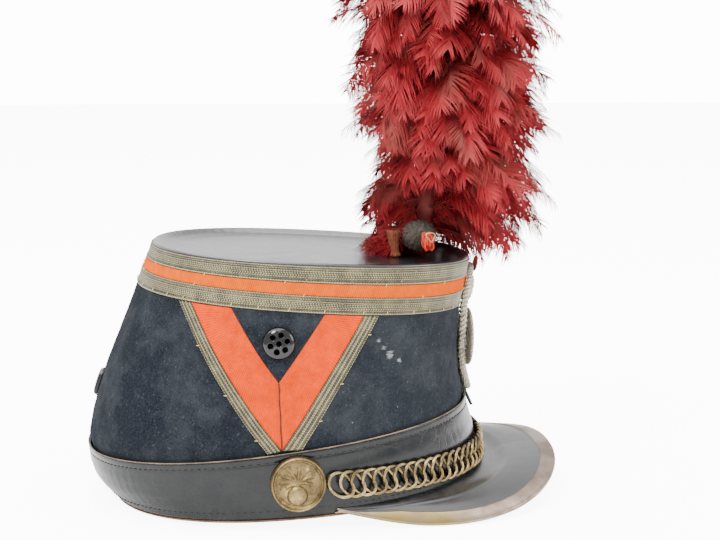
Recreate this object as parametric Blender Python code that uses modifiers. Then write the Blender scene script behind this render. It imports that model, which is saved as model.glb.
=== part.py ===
"""Shako: a stiff cloth dress cap with a leather band, an arched peak, a chin chain and a plume.

Run with: blender --background --python part.py
The cap faces -Y and its right side is -X.  Sizes below are millimetres; the scene is in metres.
Every piece is laid out in the cap's own frame, whose hem is level, and hangs on one empty.
That empty is tilted as the cap rests: on the back of its hem and on the sides of its peak.
"""

import math

import bmesh
import bpy
import numpy as np
from mathutils import Euler, Vector

MM = 0.001
GAP = 0.3                     # clearance left between pieces that touch
SIDES = 36                    # facets round the crown

# Crown: its outer surface is the band's below and the cloth's above
FRONT_HEIGHT = 113.8
REAR_HEIGHT = 131.9
HALF_LENGTH = 103.0
HALF_WIDTH = 84.0
NARROW_FRONT = 0.031          # how much narrower the front half is than the rear half
CLOTH_WALL = 2.0

# Leather
BAND_WALL = 1.4
HEM_CLEAR = 0.5               # how far the band and the cloth end above the hem's plane
SWEAT_FOOT = 0.7              # how far the sweatband's turned-out foot shows below that plane
WELT_PROUD = 0.7
SWEAT_WALL = 1.2
SWEAT_HEIGHT = 26.0
TOP_WALL = 1.6
TOP_DEPTH = 2.4               # how far the crown's top is sunk below its rim
TOP_SKIRT = 0.5
TOP_SEAT = 2.9                # how far in from its edge the top rests on the crown's wall

# Braid
BRAID_WALL = 0.7

# Peak, with forward reach and rise measured as the cap rests on the floor
REST_TILT = math.radians(3.08)
PEAK_WALL = 1.5
PEAK_TIP_REACH = 149.0
PEAK_WIDEST_REACH = 71.0
PEAK_END_REACH = 23.0
PEAK_OVERHANG = 4.0           # how far its widest part stands beyond HALF_WIDTH
PEAK_SQUARENESS = 2.34
PEAK_TIP_RISE = 18.6
PEAK_END_RISE = 9.6
PEAK_ROOT_HEIGHT = 3.0        # above the hem
PEAK_DOME = 2.2
PEAK_CREASE = 3.0
PEAK_UPRIGHT = 0.56           # share of the edge's thickness that is upright where it meets the floor
BINDING_WALL = 0.6
BINDING_WIDTH = 8.0
BINDING_UNDER = 5.0

# Chin chain and its bosses
BOSS_RADIUS = 13.9
BOSS_FORWARD = 4.2
BOSS_HEIGHT = 17.9
BOSS_THICKNESS = 3.4
GRENADE_BALL = 5.1
LINK_PITCH = 5.7
LINK_HALF_LENGTH = 5.9
LINK_HALF_HEIGHT = 6.6
LINK_WIRE = 1.5
LINK_TWIST = 1.05
LINK_SIDES = 10
WIRE_SIDES = 5
CHAIN_SIDE_HEIGHT = 16.2
CHAIN_FRONT_HEIGHT = 11.0

# Vents
VENT_RADIUS = 8.0
VENT_DOME = 3.8
VENT_FORWARD = -0.3
VENT_SHARE = 0.586            # share of the way from the chevron's notch up to the braid
VENT_HOLE = 1.3
VENT_RING = 4.2
VENT_HOLE_DEPTH = 1.4

# Front trim, which the photo shows edge-on
CORD_RADIUS = 2.1
CORD_LOW = 38.5
CORD_HIGH = 107.0
CORD_SPREAD = 13.2
KNOT_RADIUS = 4.6
KNOT_WIRE = 2.5
KNOT_HEIGHT = 95.5
COCKADE_RADIUS = 16.0
COCKADE_THICKNESS = 2.6
COCKADE_STAND = 7.2
COCKADE_HEIGHT = 67.5
COCKADE_POST = 2.4
TONGUE_WALL = 1.1
TONGUE_WIDTH = 8.0
TONGUE_LENGTH = 22.0
TONGUE_HIDDEN = 0.47          # share of the tongue behind the cord loop
TONGUE_STAND = 3.0            # how far its point stands off the band
TAB_WALL = 1.8
TAB_WIDTH = 9.0
TAB_LENGTH = 8.6
TAB_HEIGHT = 108.9
REAR_TAB_WALL = 2.0
REAR_TAB_WIDTH = 13.0

# Plume
PLUME_FORWARD = 82.0
PLUME_LEAN = 22.0             # how far its axis comes forward on its way up
PLUME_HEIGHT = 190.0
PLUME_HALF_WIDTH = 58.0
PLUME_CORE = 5.6
PLUME_SHEET = 2.0
PLUME_SIDES = 18
BULB_RADII = (9.2, 8.0, 8.0)
BULB_RISE = 12.6
STEM_FOOT = 2.3
STEM_MOUTH = 3.5
STEM_LENGTH = 14.0
BEAD_RADII = (3.4, 3.0, 4.6)
BEAD_DROP = 2.2               # below the bulb's middle
BEAD_TUCK = 0.93              # share of the bulb's half width at which the bead meets it

# Crown sections from hem to top.  Heights are shares of REAR_HEIGHT and FRONT_HEIGHT,
# reaches are shares of HALF_LENGTH, half widths of HALF_WIDTH.
CROWN_COLUMNS = ("rear_height", "front_height", "rear_reach", "front_reach", "half_width", "square")
CROWN_SECTIONS = {
    "hem":        (0.000, 0.000, 0.885, 1.050, 1.000, 2.20),
    "band_mid":   (0.100, 0.160, 0.983, 1.034, 1.000, 2.20),
    "band_top":   (0.204, 0.329, 1.000, 0.992, 0.986, 2.20),
    "cloth_low":  (0.334, 0.440, 0.966, 0.964, 0.968, 2.20),
    "cloth_mid":  (0.485, 0.554, 0.897, 0.960, 0.947, 2.22),
    "cloth_high": (0.652, 0.668, 0.798, 0.970, 0.924, 2.24),
    "galon_low":  (0.847, 0.782, 0.684, 0.984, 0.888, 2.25),
    "top":        (1.000, 1.000, 0.592, 1.046, 0.852, 2.25),
}
HEM, BAND_TOP, GALON_LOW, TOP = 0.0, 2.0, 6.0, 7.0
BAND_LEVELS = (0.6, 1.3, BAND_TOP)
CLOTH_START = 2.36            # level at which the cloth is back at the outer surface

# Crown top: inset from the edge and rise, in shares of TOP_DEPTH
TOP_PROFILE = ((0.0, 0.0), (0.3, 0.4), (1.4, 0.35), (3.0, -0.75), (12.0, -1.0))

# Braid rings on the crown, as shares of the height between galon_low and the top's skirt
GALON_RINGS = {
    "galon_lace_lower": (0.000, 0.370),
    "galon_stripe":     (0.385, 0.640),
    "galon_lace_upper": (0.655, 1.000),
}

# Chevron corners: forward reach as a share of CHEVRON_REACH, then crown level
CHEVRON_REACH = 45.0
CHEVRON_TOP = 5.985
CHEVRON = {
    "front_outer": (0.935, CHEVRON_TOP), "front_inner": (0.507, CHEVRON_TOP),
    "notch": (-0.044, 4.24), "tip": (-0.060, 2.16),
    "rear_inner": (-0.500, CHEVRON_TOP), "rear_outer": (-0.924, CHEVRON_TOP),
    "front_edge": (1.107, CHEVRON_TOP), "front_foot": (0.165, 2.10),
    "rear_edge": (-1.060, CHEVRON_TOP), "rear_foot": (-0.215, 2.10),
}
SEAM = 0.010                  # half the gap between braid and chevron, as a share of CHEVRON_REACH

# Plume tiers: root height, hem height (shares of PLUME_HEIGHT), reach (share of PLUME_HALF_WIDTH)
PLUME_TIERS = (
    ("frill",  0.200, 0.050, 0.66),
    ("first",  0.315, 0.150, 0.86),
    ("second", 0.435, 0.270, 0.90),
    ("third",  0.560, 0.395, 0.97),
    ("fourth", 0.685, 0.520, 1.00),
    ("fifth",  0.810, 0.650, 0.96),
    ("sixth",  0.900, 0.760, 0.86),
    ("crest",  0.985, 0.870, 0.66),
)

# Boss profile from the axis outward: radius and height, as shares of BOSS_RADIUS and BOSS_THICKNESS
BOSS_PROFILE = ((0.0, 0.62), (0.70, 0.55), (0.74, 0.74), (0.80, 0.74), (0.84, 0.58), (0.93, 1.0),
                (1.0, 0.72), (1.0, 0.0), (0.0, 0.0))
# Grenade flames: angle from upright, then length as a share of BOSS_RADIUS
FLAMES = ((-62, 0.42), (-38, 0.56), (-14, 0.50), (10, 0.60), (34, 0.50), (58, 0.44))
FLAME_ROOT = 0.16

COCKADE_PROFILE = ((0.0, 1.0), (0.45, 0.92), (0.80, 0.62), (0.88, 0.85), (1.0, 0.5), (0.96, 0.0), (0.0, 0.0))

MATERIALS = {
    "navy_cloth":    ((0.012, 0.015, 0.028), 0.92, 0.0),
    "black_patent":  ((0.010, 0.010, 0.011), 0.25, 0.0),
    "brown_leather": ((0.080, 0.040, 0.020), 0.60, 0.0),
    "silver_lace":   ((0.200, 0.190, 0.120), 0.70, 0.0),
    "orange_wool":   ((0.850, 0.160, 0.020), 0.85, 0.0),
    "aged_brass":    ((0.260, 0.180, 0.080), 0.42, 1.0),
    "black_enamel":  ((0.006, 0.006, 0.007), 0.12, 0.0),
    "silver_cord":   ((0.420, 0.380, 0.310), 0.75, 0.0),
    "green_metal":   ((0.040, 0.070, 0.045), 0.50, 0.0),
    "red_feather":   ((0.400, 0.012, 0.020), 0.80, 0.0),
    "grey_wool":     ((0.090, 0.070, 0.060), 0.95, 0.0),
    "orange_cord":   ((0.600, 0.060, 0.020), 0.80, 0.0),
}


def clear_scene():
    """Remove what the file held."""
    for obj in list(bpy.data.objects):
        bpy.data.objects.remove(obj, do_unlink=True)


def make_material(name):
    """Principled material by name from the table."""
    if name in bpy.data.materials:
        return bpy.data.materials[name]
    color, roughness, metallic = MATERIALS[name]
    material = bpy.data.materials.new(name)
    material.use_nodes = True
    shader = material.node_tree.nodes["Principled BSDF"]
    shader.inputs["Base Color"].default_value = (*color, 1.0)
    shader.inputs["Roughness"].default_value = roughness
    shader.inputs["Metallic"].default_value = metallic
    return material


def smooth_rows(table, level):
    """Read a table of rows at fractional row numbers, with smooth slopes between the rows."""
    rows = np.asarray(table, float)
    level = np.clip(np.asarray(level, float), 0.0, len(rows) - 1.0)
    low = np.minimum(level.astype(int), len(rows) - 2)
    part = (level - low)[..., None]
    slopes = np.gradient(rows, axis=0)
    a, b, da, db = rows[low], rows[low + 1], slopes[low], slopes[low + 1]
    return (a * (1 + 2 * part) * (1 - part) ** 2 + b * part ** 2 * (3 - 2 * part)
            + da * part * (1 - part) ** 2 - db * part ** 2 * (1 - part))


def section(level):
    """Sizes of the crown at a level: rear and front height, rear and front reach, half width, squareness."""
    scale = np.array([REAR_HEIGHT, FRONT_HEIGHT, -HALF_LENGTH, HALF_LENGTH, HALF_WIDTH, 1.0])
    values = smooth_rows(list(CROWN_SECTIONS.values()), level) * scale
    return [values[..., i] for i in range(len(CROWN_COLUMNS))]


def signed_power(value, power):
    """Power of the size, with the sign kept."""
    return np.sign(value) * np.abs(value) ** power


def oval(angle, level):
    """Point of the crown's outer surface; the angle runs from the front toward +X."""
    rear_z, front_z, rear, front, half_width, square = section(level)
    across, along = np.sin(angle), np.cos(angle)
    reach = (front + rear) / 2 + (front - rear) / 2 * signed_power(along, 2 / square)
    side = half_width * signed_power(across, 2 / square) * (1 - NARROW_FRONT * along)
    height = rear_z + (front_z - rear_z) * (reach - rear) / (front - rear)
    return np.stack(np.broadcast_arrays(side, -reach, height), axis=-1)


def wall_frame(angle, level):
    """Point, outward normal, tangent round the crown and tangent up the crown."""
    step = 1e-4
    angle, level = np.broadcast_arrays(np.asarray(angle, float), np.asarray(level, float))
    inner = np.clip(level, step, len(CROWN_SECTIONS) - 1 - step)
    point = oval(angle, level)
    around = oval(angle + step, inner) - oval(angle - step, inner)
    up = oval(angle, inner + step) - oval(angle, inner - step)
    normal = np.cross(around, up)
    return tuple(v / np.linalg.norm(v, axis=-1, keepdims=True) if i else v
                 for i, v in enumerate((point, normal, around, up)))


def wall_point(angle, level, out=0.0):
    """Point at a distance outside the crown's outer surface."""
    point, normal, _, _ = wall_frame(angle, level)
    return point + normal * np.asarray(out, float)[..., None]


def ring_angles(count=SIDES):
    """Angles round the crown, with none repeated."""
    return np.linspace(0.0, 2 * math.pi, count, endpoint=False)


def angle_at(reach, level):
    """Angle on the crown's right-hand or left-hand half at which a level has this forward reach."""
    _, _, rear, front, _, square = section(level)
    share = (np.asarray(reach, float) - (front + rear) / 2) / ((front - rear) / 2)
    return np.arccos(np.clip(signed_power(share, square / 2), -1, 1))


def level_at(angle, height):
    """Level at which the crown has this height above the hem's plane, at this angle."""
    levels = np.linspace(0, len(CROWN_SECTIONS) - 1, 701)
    return float(np.interp(height, oval(angle, levels)[:, 2], levels))


def top_height(reach):
    """Height of the top edge's plane at a forward reach."""
    rear_z, front_z, rear, front, _, _ = section(TOP)
    return float(rear_z + (front_z - rear_z) * (reach - rear) / (front - rear))


def from_rest(reach, side, rise):
    """Turn a point measured as the cap rests on the floor into the cap's own frame."""
    lift = SWEAT_FOOT * math.cos(REST_TILT) - section(HEM)[2] * math.sin(REST_TILT)
    low = np.asarray(rise, float) - lift
    forward = reach * math.cos(REST_TILT) + low * math.sin(REST_TILT)
    height = -reach * math.sin(REST_TILT) + low * math.cos(REST_TILT)
    return np.stack(np.broadcast_arrays(side, -forward, height), axis=-1)


def add_object(name, mesh, material, collection, parent):
    """Put a mesh in the scene as a named, smooth-shaded piece."""
    for polygon in mesh.polygons:
        polygon.use_smooth = True
    obj = bpy.data.objects.new(name, mesh)
    mesh.materials.append(make_material(material))
    collection.objects.link(obj)
    obj.parent = parent
    return obj


def loft_mesh(name, grid, closed_rows=False, closed_columns=False, ends=None, flip=False):
    """Mesh through a grid of points; ends is None, 'face' or 'point' for the first and last rows."""
    rows, columns = grid.shape[:2]
    bm = bmesh.new()
    verts = [[bm.verts.new(Vector(p) * MM) for p in row] for row in grid.tolist()]
    for i in range(rows if closed_rows else rows - 1):
        for j in range(columns if closed_columns else columns - 1):
            k, m = (i + 1) % rows, (j + 1) % columns
            quad = (verts[i][j], verts[i][m], verts[k][m], verts[k][j])
            bm.faces.new(quad[::-1] if flip else quad)
    for row, turn in ((verts[0], True), (verts[-1], False)):
        turn = turn != flip
        if ends == "face":
            bm.faces.new(row[::-1] if turn else row)
        if ends == "point":
            middle = bm.verts.new(sum((v.co for v in row), Vector()) / columns)
            for j in range(columns):
                pair = (row[j], row[(j + 1) % columns])
                bm.faces.new((*(pair[::-1] if turn else pair), middle))
    mesh = bpy.data.meshes.new(name)
    bm.to_mesh(mesh)
    bm.free()
    return mesh


def solidify(obj, wall, side):
    """Give an open surface its wall; side is +1 outward along its normals, -1 inward."""
    modifier = obj.modifiers.new("wall", "SOLIDIFY")
    modifier.thickness = wall * MM
    modifier.offset = side
    modifier.use_even_offset = True
    modifier.use_quality_normals = True


def combine(obj, other, operation):
    """Exact boolean with another object."""
    modifier = obj.modifiers.new(other.name, "BOOLEAN")
    modifier.operation = operation
    modifier.solver = "EXACT"
    modifier.object = other


def as_cutter(obj, cutters):
    """Keep a boolean's helper out of the render."""
    for collection in list(obj.users_collection):
        collection.objects.unlink(obj)
    cutters.objects.link(obj)
    obj.hide_render = True
    obj.display_type = "WIRE"
    return obj


def build_crown(parts, frame):
    """Cloth body, sunken leather top and the sweatband inside."""
    angles = ring_angles()
    skirt_level = level_at(math.pi / 2, oval(math.pi / 2, TOP)[2] - TOP_SKIRT - GAP)
    hem_level = level_at(math.pi / 2, HEM_CLEAR)
    under_band = -(BAND_WALL + GAP)
    levels = np.array([hem_level, *BAND_LEVELS, CLOTH_START, 3.5, 4.7, GALON_LOW, skirt_level])
    outs = np.interp(levels, [BAND_TOP, CLOTH_START], [under_band, 0.0])
    grid = wall_point(angles[None, :], levels[:, None], outs[:, None])
    body = add_object("crown_body", loft_mesh("crown_body", grid, closed_columns=True),
                      "navy_cloth", parts, frame)
    solidify(body, CLOTH_WALL, -1)

    edge = oval(angles, TOP)
    middle = edge.mean(axis=0)
    reach = np.linalg.norm((edge - middle)[:, :2], axis=1)[:, None]
    upper = [(inset * TOP_DEPTH, rise * TOP_DEPTH) for inset, rise in TOP_PROFILE]
    under = [(inset, rise - TOP_WALL) for inset, rise in upper if inset > TOP_SEAT]
    seat = [(TOP_SEAT, under[0][1]), (TOP_SEAT, 0.0), (0.0, -TOP_SKIRT)]
    rows = [middle + (edge - middle) * (1 - inset / reach) + [0, 0, rise]
            for inset, rise in upper[::-1] + seat[::-1] + under]
    mesh = loft_mesh("crown_top", np.array(rows), closed_columns=True, ends="face")
    make_outward(mesh)
    add_object("crown_top", mesh, "black_patent", parts, frame)

    inset = BAND_WALL + CLOTH_WALL + 3.5 * GAP
    deep = inset + SWEAT_WALL
    foot_top = HEM_CLEAR - GAP
    profile = ((0.0, -SWEAT_FOOT), (0.0, foot_top), (inset, foot_top), (inset, SWEAT_HEIGHT / 2),
               (inset, SWEAT_HEIGHT), (deep, SWEAT_HEIGHT), (deep, SWEAT_HEIGHT / 2), (deep, -SWEAT_FOOT))
    loops = []
    for depth, height in profile:
        level = np.array([level_at(a, max(height, 0.0)) for a in angles])
        point, normal, _, _ = wall_frame(angles, level)
        plan = normal * [1, 1, 0]
        point = point - plan / np.linalg.norm(plan, axis=1, keepdims=True) ** 2 * depth
        loops.append(point + [0, 0, min(height, 0.0)])
    add_object("sweatband", loft_mesh("sweatband", np.array(loops), closed_rows=True, closed_columns=True),
               "brown_leather", parts, frame)
    return skirt_level


def build_braid(parts, frame, skirt_level):
    """Three rings of braid under the top: lace, orange stripe, lace."""
    span = skirt_level - GALON_LOW
    for name, (low, high) in GALON_RINGS.items():
        levels = GALON_LOW + span * np.array([low, high])
        grid = wall_point(ring_angles()[None, :], levels[:, None], GAP)
        material = "orange_wool" if name == "galon_stripe" else "silver_lace"
        ring = add_object(name, loft_mesh(name, grid, closed_columns=True), material, parts, frame)
        solidify(ring, BRAID_WALL, 1)


def chevron_patch(corners, columns=7, rows=2):
    """Grid on the crown between four corners: two along its head, two along its foot."""
    head_a, head_b, foot_b, foot_a = [np.array([r * CHEVRON_REACH, lv]) for r, lv in corners]
    along = np.linspace(0, 1, columns + 1)[None, :, None]
    across = np.linspace(0, 1, rows + 1)[:, None, None]
    head = head_a + (head_b - head_a) * across
    foot = foot_a + (foot_b - foot_a) * across
    return head + (foot - head) * along


def build_chevrons(parts, frame):
    """Orange V with lace along its outer edges, on each side of the crown."""
    c = CHEVRON
    shift = lambda key, step: (c[key][0] + step, c[key][1])
    front = chevron_patch((c["front_outer"], c["front_inner"], c["notch"], c["tip"]))
    rear = chevron_patch((c["rear_outer"], c["rear_inner"], c["notch"], c["tip"]))
    pieces = {
        "chevron_{}_orange": (np.concatenate([front, rear[:, -2::-1]], axis=1), "orange_wool"),
        "chevron_{}_lace_front": (chevron_patch((c["front_edge"], shift("front_outer", SEAM),
                                                 shift("tip", SEAM), c["front_foot"])), "silver_lace"),
        "chevron_{}_lace_rear": (chevron_patch((shift("rear_outer", -SEAM), c["rear_edge"],
                                                c["rear_foot"], shift("tip", -SEAM))), "silver_lace"),
    }
    for side, sign in (("left", 1), ("right", -1)):
        for pattern, (flat, material) in pieces.items():
            name = pattern.format(side)
            angle = angle_at(flat[..., 0], flat[..., 1]) * sign
            grid = wall_point(angle, flat[..., 1], GAP)
            mesh = loft_mesh(name, grid)
            obj = add_object(name, mesh, material, parts, frame)
            middle = grid[grid.shape[0] // 2, grid.shape[1] // 2]
            if mesh.polygons[0].normal.dot(Vector((middle[0], 0, 0))) < 0:
                mesh.flip_normals()
            solidify(obj, BRAID_WALL, 1)


def build_band(parts, frame):
    """Patent leather band with a rolled welt along its top; its outer face is the crown's surface."""
    hem_level = level_at(math.pi / 2, HEM_CLEAR)
    inside = [(level, -BAND_WALL) for level in (hem_level, *BAND_LEVELS)]
    welt = [(BAND_TOP + 0.03, -BAND_WALL / 2), (BAND_TOP, WELT_PROUD), (1.90, WELT_PROUD), (1.86, 0.0)]
    outside = [(level, 0.0) for level in (*BAND_LEVELS[-2::-1], hem_level)]
    profile = np.array(inside + welt + outside)
    grid = wall_point(ring_angles()[None, :], profile[:, :1], profile[:, 1:])
    add_object("head_band", loft_mesh("head_band", grid[::-1], closed_rows=True, closed_columns=True),
               "black_patent", parts, frame)


def peak_lines(count):
    """Root and rim lines of the peak, left end to right end, as equal shares of their lengths."""
    turn = np.linspace(0, math.pi / 2, 60)
    reach = PEAK_WIDEST_REACH + (PEAK_TIP_REACH - PEAK_WIDEST_REACH) * np.cos(turn) ** (2 / PEAK_SQUARENESS)
    widest = HALF_WIDTH + PEAK_OVERHANG
    side = widest * np.sin(turn) ** (2 / PEAK_SQUARENESS)
    low = PEAK_UPRIGHT * (PEAK_WALL + GAP + BINDING_WALL)
    rise = low + (PEAK_TIP_RISE - low) * (1 - (side / widest) ** 2)

    end_angle = float(angle_at(PEAK_END_REACH, HEM))
    end_side = float(oval(end_angle, HEM)[0]) + BINDING_WALL + GAP
    back = np.linspace(0, 1, 24)[1:]
    reach = np.append(reach, PEAK_WIDEST_REACH + (PEAK_END_REACH - PEAK_WIDEST_REACH) * back)
    side = np.append(side, widest + (end_side - widest) * back ** 2)
    rise = np.append(rise, low + (PEAK_END_RISE - low) * back ** 1.6)
    half = from_rest(reach, side, rise)

    angles = np.linspace(0, end_angle, 80)
    level = np.array([level_at(a, PEAK_ROOT_HEIGHT) for a in angles])
    root = wall_point(angles, level, 2 * GAP)
    shares = np.linspace(0, 1, count + 1)
    lines = []
    for line in (root, half):
        steps = np.append(0, np.cumsum(np.linalg.norm(np.diff(line, axis=0), axis=1)))
        near = np.stack([np.interp(shares * steps[-1], steps, line[:, i]) for i in range(3)], axis=1)
        lines.append(np.concatenate([near[:0:-1] * [-1, 1, 1], near]))
    return lines


def peak_surface(root, rim, inset):
    """Top face of the peak at a distance in from its rim, with its dome and its crease at the root."""
    run = np.linalg.norm(rim - root, axis=1, keepdims=True)
    part = 1 - inset / run
    sides = np.abs(rim[:, :1]) / (HALF_WIDTH + PEAK_OVERHANG)
    dome = PEAK_DOME * 4 * np.clip(part * (1 - part), 0, 1) * np.clip(run / 18 - 0.3, 0, 1) * sides
    crease = PEAK_CREASE * np.exp(-((part - 0.22) / 0.13) ** 2) * (1 - sides ** 2)
    return root + (rim - root) * part + np.concatenate([0 * dome, 0 * dome, dome - crease], axis=1)


def build_peak(parts, frame):
    """Arched leather peak and the brass binding folded over its edge."""
    root, rim = peak_lines(14)
    run = np.linalg.norm(rim - root, axis=1, keepdims=True)
    normal = np.cross(np.gradient(rim, axis=0), rim - peak_surface(root, rim, 0.2 * run))
    normal /= np.linalg.norm(normal, axis=1, keepdims=True)
    normal *= np.sign(normal[:, 2:])

    edge = BINDING_WALL + 2 * GAP
    upper, lower = [], []
    for share in (1.0, 0.8, 0.55, 0.25, 0.0):
        row = peak_surface(root, rim, edge + (run - edge) * share)
        down = normal * (1 - share) + np.array([0, 0, share])
        upper.append(row)
        lower.append(row - down / np.linalg.norm(down, axis=1, keepdims=True) * PEAK_WALL)
    grid = np.array(upper + lower[::-1])[:, 1:-1].transpose(1, 0, 2)
    peak = loft_mesh("peak", grid, closed_columns=True, ends="face")
    make_outward(peak)
    add_object("peak", peak, "black_patent", parts, frame)

    ends = np.abs(np.linspace(-1, 1, len(rim)))[:, None]
    width = np.minimum(BINDING_WIDTH * np.clip((1 - ends) / 0.2, 0.12, 1), 0.86 * run)
    under = width * BINDING_UNDER / BINDING_WIDTH
    low = -PEAK_WALL - GAP
    profile = ((width, GAP), (width / 2, GAP), (BINDING_WALL + GAP, GAP), (BINDING_WALL + GAP, low), (under, low),
               (under, low - BINDING_WALL), (0.8 * BINDING_WALL, low - BINDING_WALL), (0.0, low),
               (0.0, GAP), (0.8 * BINDING_WALL, GAP + BINDING_WALL), (width / 2, GAP + BINDING_WALL),
               (width, GAP + BINDING_WALL))
    loops = [peak_surface(root, rim, inset * np.ones_like(run)) + normal * height for inset, height in profile]
    grid = np.array(loops).transpose(1, 0, 2)
    mesh = loft_mesh("peak_binding", grid, closed_columns=True, ends="face")
    make_outward(mesh)
    add_object("peak_binding", mesh, "aged_brass", parts, frame)


def make_outward(mesh):
    """Turn a closed mesh's faces outward."""
    bm = bmesh.new()
    bm.from_mesh(mesh)
    bmesh.ops.recalc_face_normals(bm, faces=bm.faces)
    bm.to_mesh(mesh)
    bm.free()


def chain_path():
    """Dense frames along the chain's centre line from the left boss to the right one."""
    boss_angle = float(angle_at(BOSS_FORWARD, 1.0))
    angles = np.linspace(boss_angle, -boss_angle, 400)
    heights = CHAIN_SIDE_HEIGHT + (CHAIN_FRONT_HEIGHT - CHAIN_SIDE_HEIGHT) * np.clip(np.cos(angles), 0, 1)
    level = np.array([level_at(a, h) for a, h in zip(angles, heights)])
    point, normal, _, up = wall_frame(angles, level)
    out = 2 * GAP + LINK_WIRE / 2 + LINK_TWIST * 0.9
    point = point + normal * out
    steps = np.append(0, np.cumsum(np.linalg.norm(np.diff(point, axis=0), axis=1)))
    return steps, point, normal, up


def link_rings(centres, frames):
    """Rings of wire, twisted so that each passes through the next, at distances along the path."""
    steps, point, normal, up = frames
    turn = np.linspace(0, 2 * math.pi, LINK_SIDES, endpoint=False)

    def centre_line(angle):
        twist = LINK_TWIST * (np.sin(2 * angle) + 0.2 * np.sin(4 * angle))
        place = centres[:, None] + LINK_HALF_LENGTH * np.cos(angle)
        read = lambda field: np.stack([np.interp(place, steps, field[:, i]) for i in range(3)], axis=-1)
        return (read(point) + read(up) * (LINK_HALF_HEIGHT * np.sin(angle))[..., None]
                + read(normal) * twist[..., None]), read(normal)

    line, out = centre_line(turn)
    ahead, _ = centre_line(turn + 1e-3)
    forward = ahead - line
    forward /= np.linalg.norm(forward, axis=-1, keepdims=True)
    side = np.cross(forward, out)
    side /= np.linalg.norm(side, axis=-1, keepdims=True)
    top = np.cross(side, forward)
    wire = np.linspace(0, 2 * math.pi, WIRE_SIDES, endpoint=False)
    return (line[:, :, None] + LINK_WIRE / 2 * (np.cos(wire)[:, None] * top[:, :, None]
                                                + np.sin(wire)[:, None] * side[:, :, None]))


def build_chain(parts, cutters, frame):
    """Twisted links from boss to boss round the front, every other one a boolean away, fused."""
    frames = chain_path()
    clear = BOSS_RADIUS + GAP + LINK_HALF_LENGTH + LINK_WIRE / 2
    length = frames[0][-1] - 2 * clear
    count = int(round(length / LINK_PITCH)) + 1
    centres = clear + np.linspace(0, length, count)
    halves = []
    for name, chosen in (("chin_chain", centres[::2]), ("chin_chain_between", centres[1::2])):
        bm = bmesh.new()
        for ring in link_rings(chosen, frames):
            verts = [[bm.verts.new(Vector(p) * MM) for p in row] for row in ring.tolist()]
            for i in range(LINK_SIDES):
                for j in range(WIRE_SIDES):
                    k, m = (i + 1) % LINK_SIDES, (j + 1) % WIRE_SIDES
                    bm.faces.new((verts[i][j], verts[i][m], verts[k][m], verts[k][j]))
        bmesh.ops.recalc_face_normals(bm, faces=bm.faces)
        mesh = bpy.data.meshes.new(name)
        bm.to_mesh(mesh)
        bm.free()
        halves.append(add_object(name, mesh, "aged_brass", parts, frame))
    combine(halves[0], as_cutter(halves[1], cutters), "UNION")


def turned(name, profile, steps, material, parts, frame):
    """Screw a profile of radius and height round Z."""
    mesh = bpy.data.meshes.new(name)
    points = [(r * MM, 0, z * MM) for r, z in profile]
    mesh.from_pydata(points, [(i, i + 1) for i in range(len(points) - 1)], [])
    obj = add_object(name, mesh, material, parts, frame)
    screw = obj.modifiers.new("turn", "SCREW")
    screw.steps = steps
    screw.render_steps = steps
    screw.use_merge_vertices = True
    screw.merge_threshold = 0.00001
    screw.use_normal_calculate = True
    return obj


def place_on_wall(obj, angle, height, out):
    """Seat a piece on the crown's surface, its Z along the normal and its Y upward."""
    level = level_at(angle, height)
    point, normal, _, _ = wall_frame(angle, level)
    obj.location = Vector(point + normal * out) * MM
    obj.rotation_euler = Vector(normal).to_track_quat("Z", "Y").to_euler()


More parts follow.
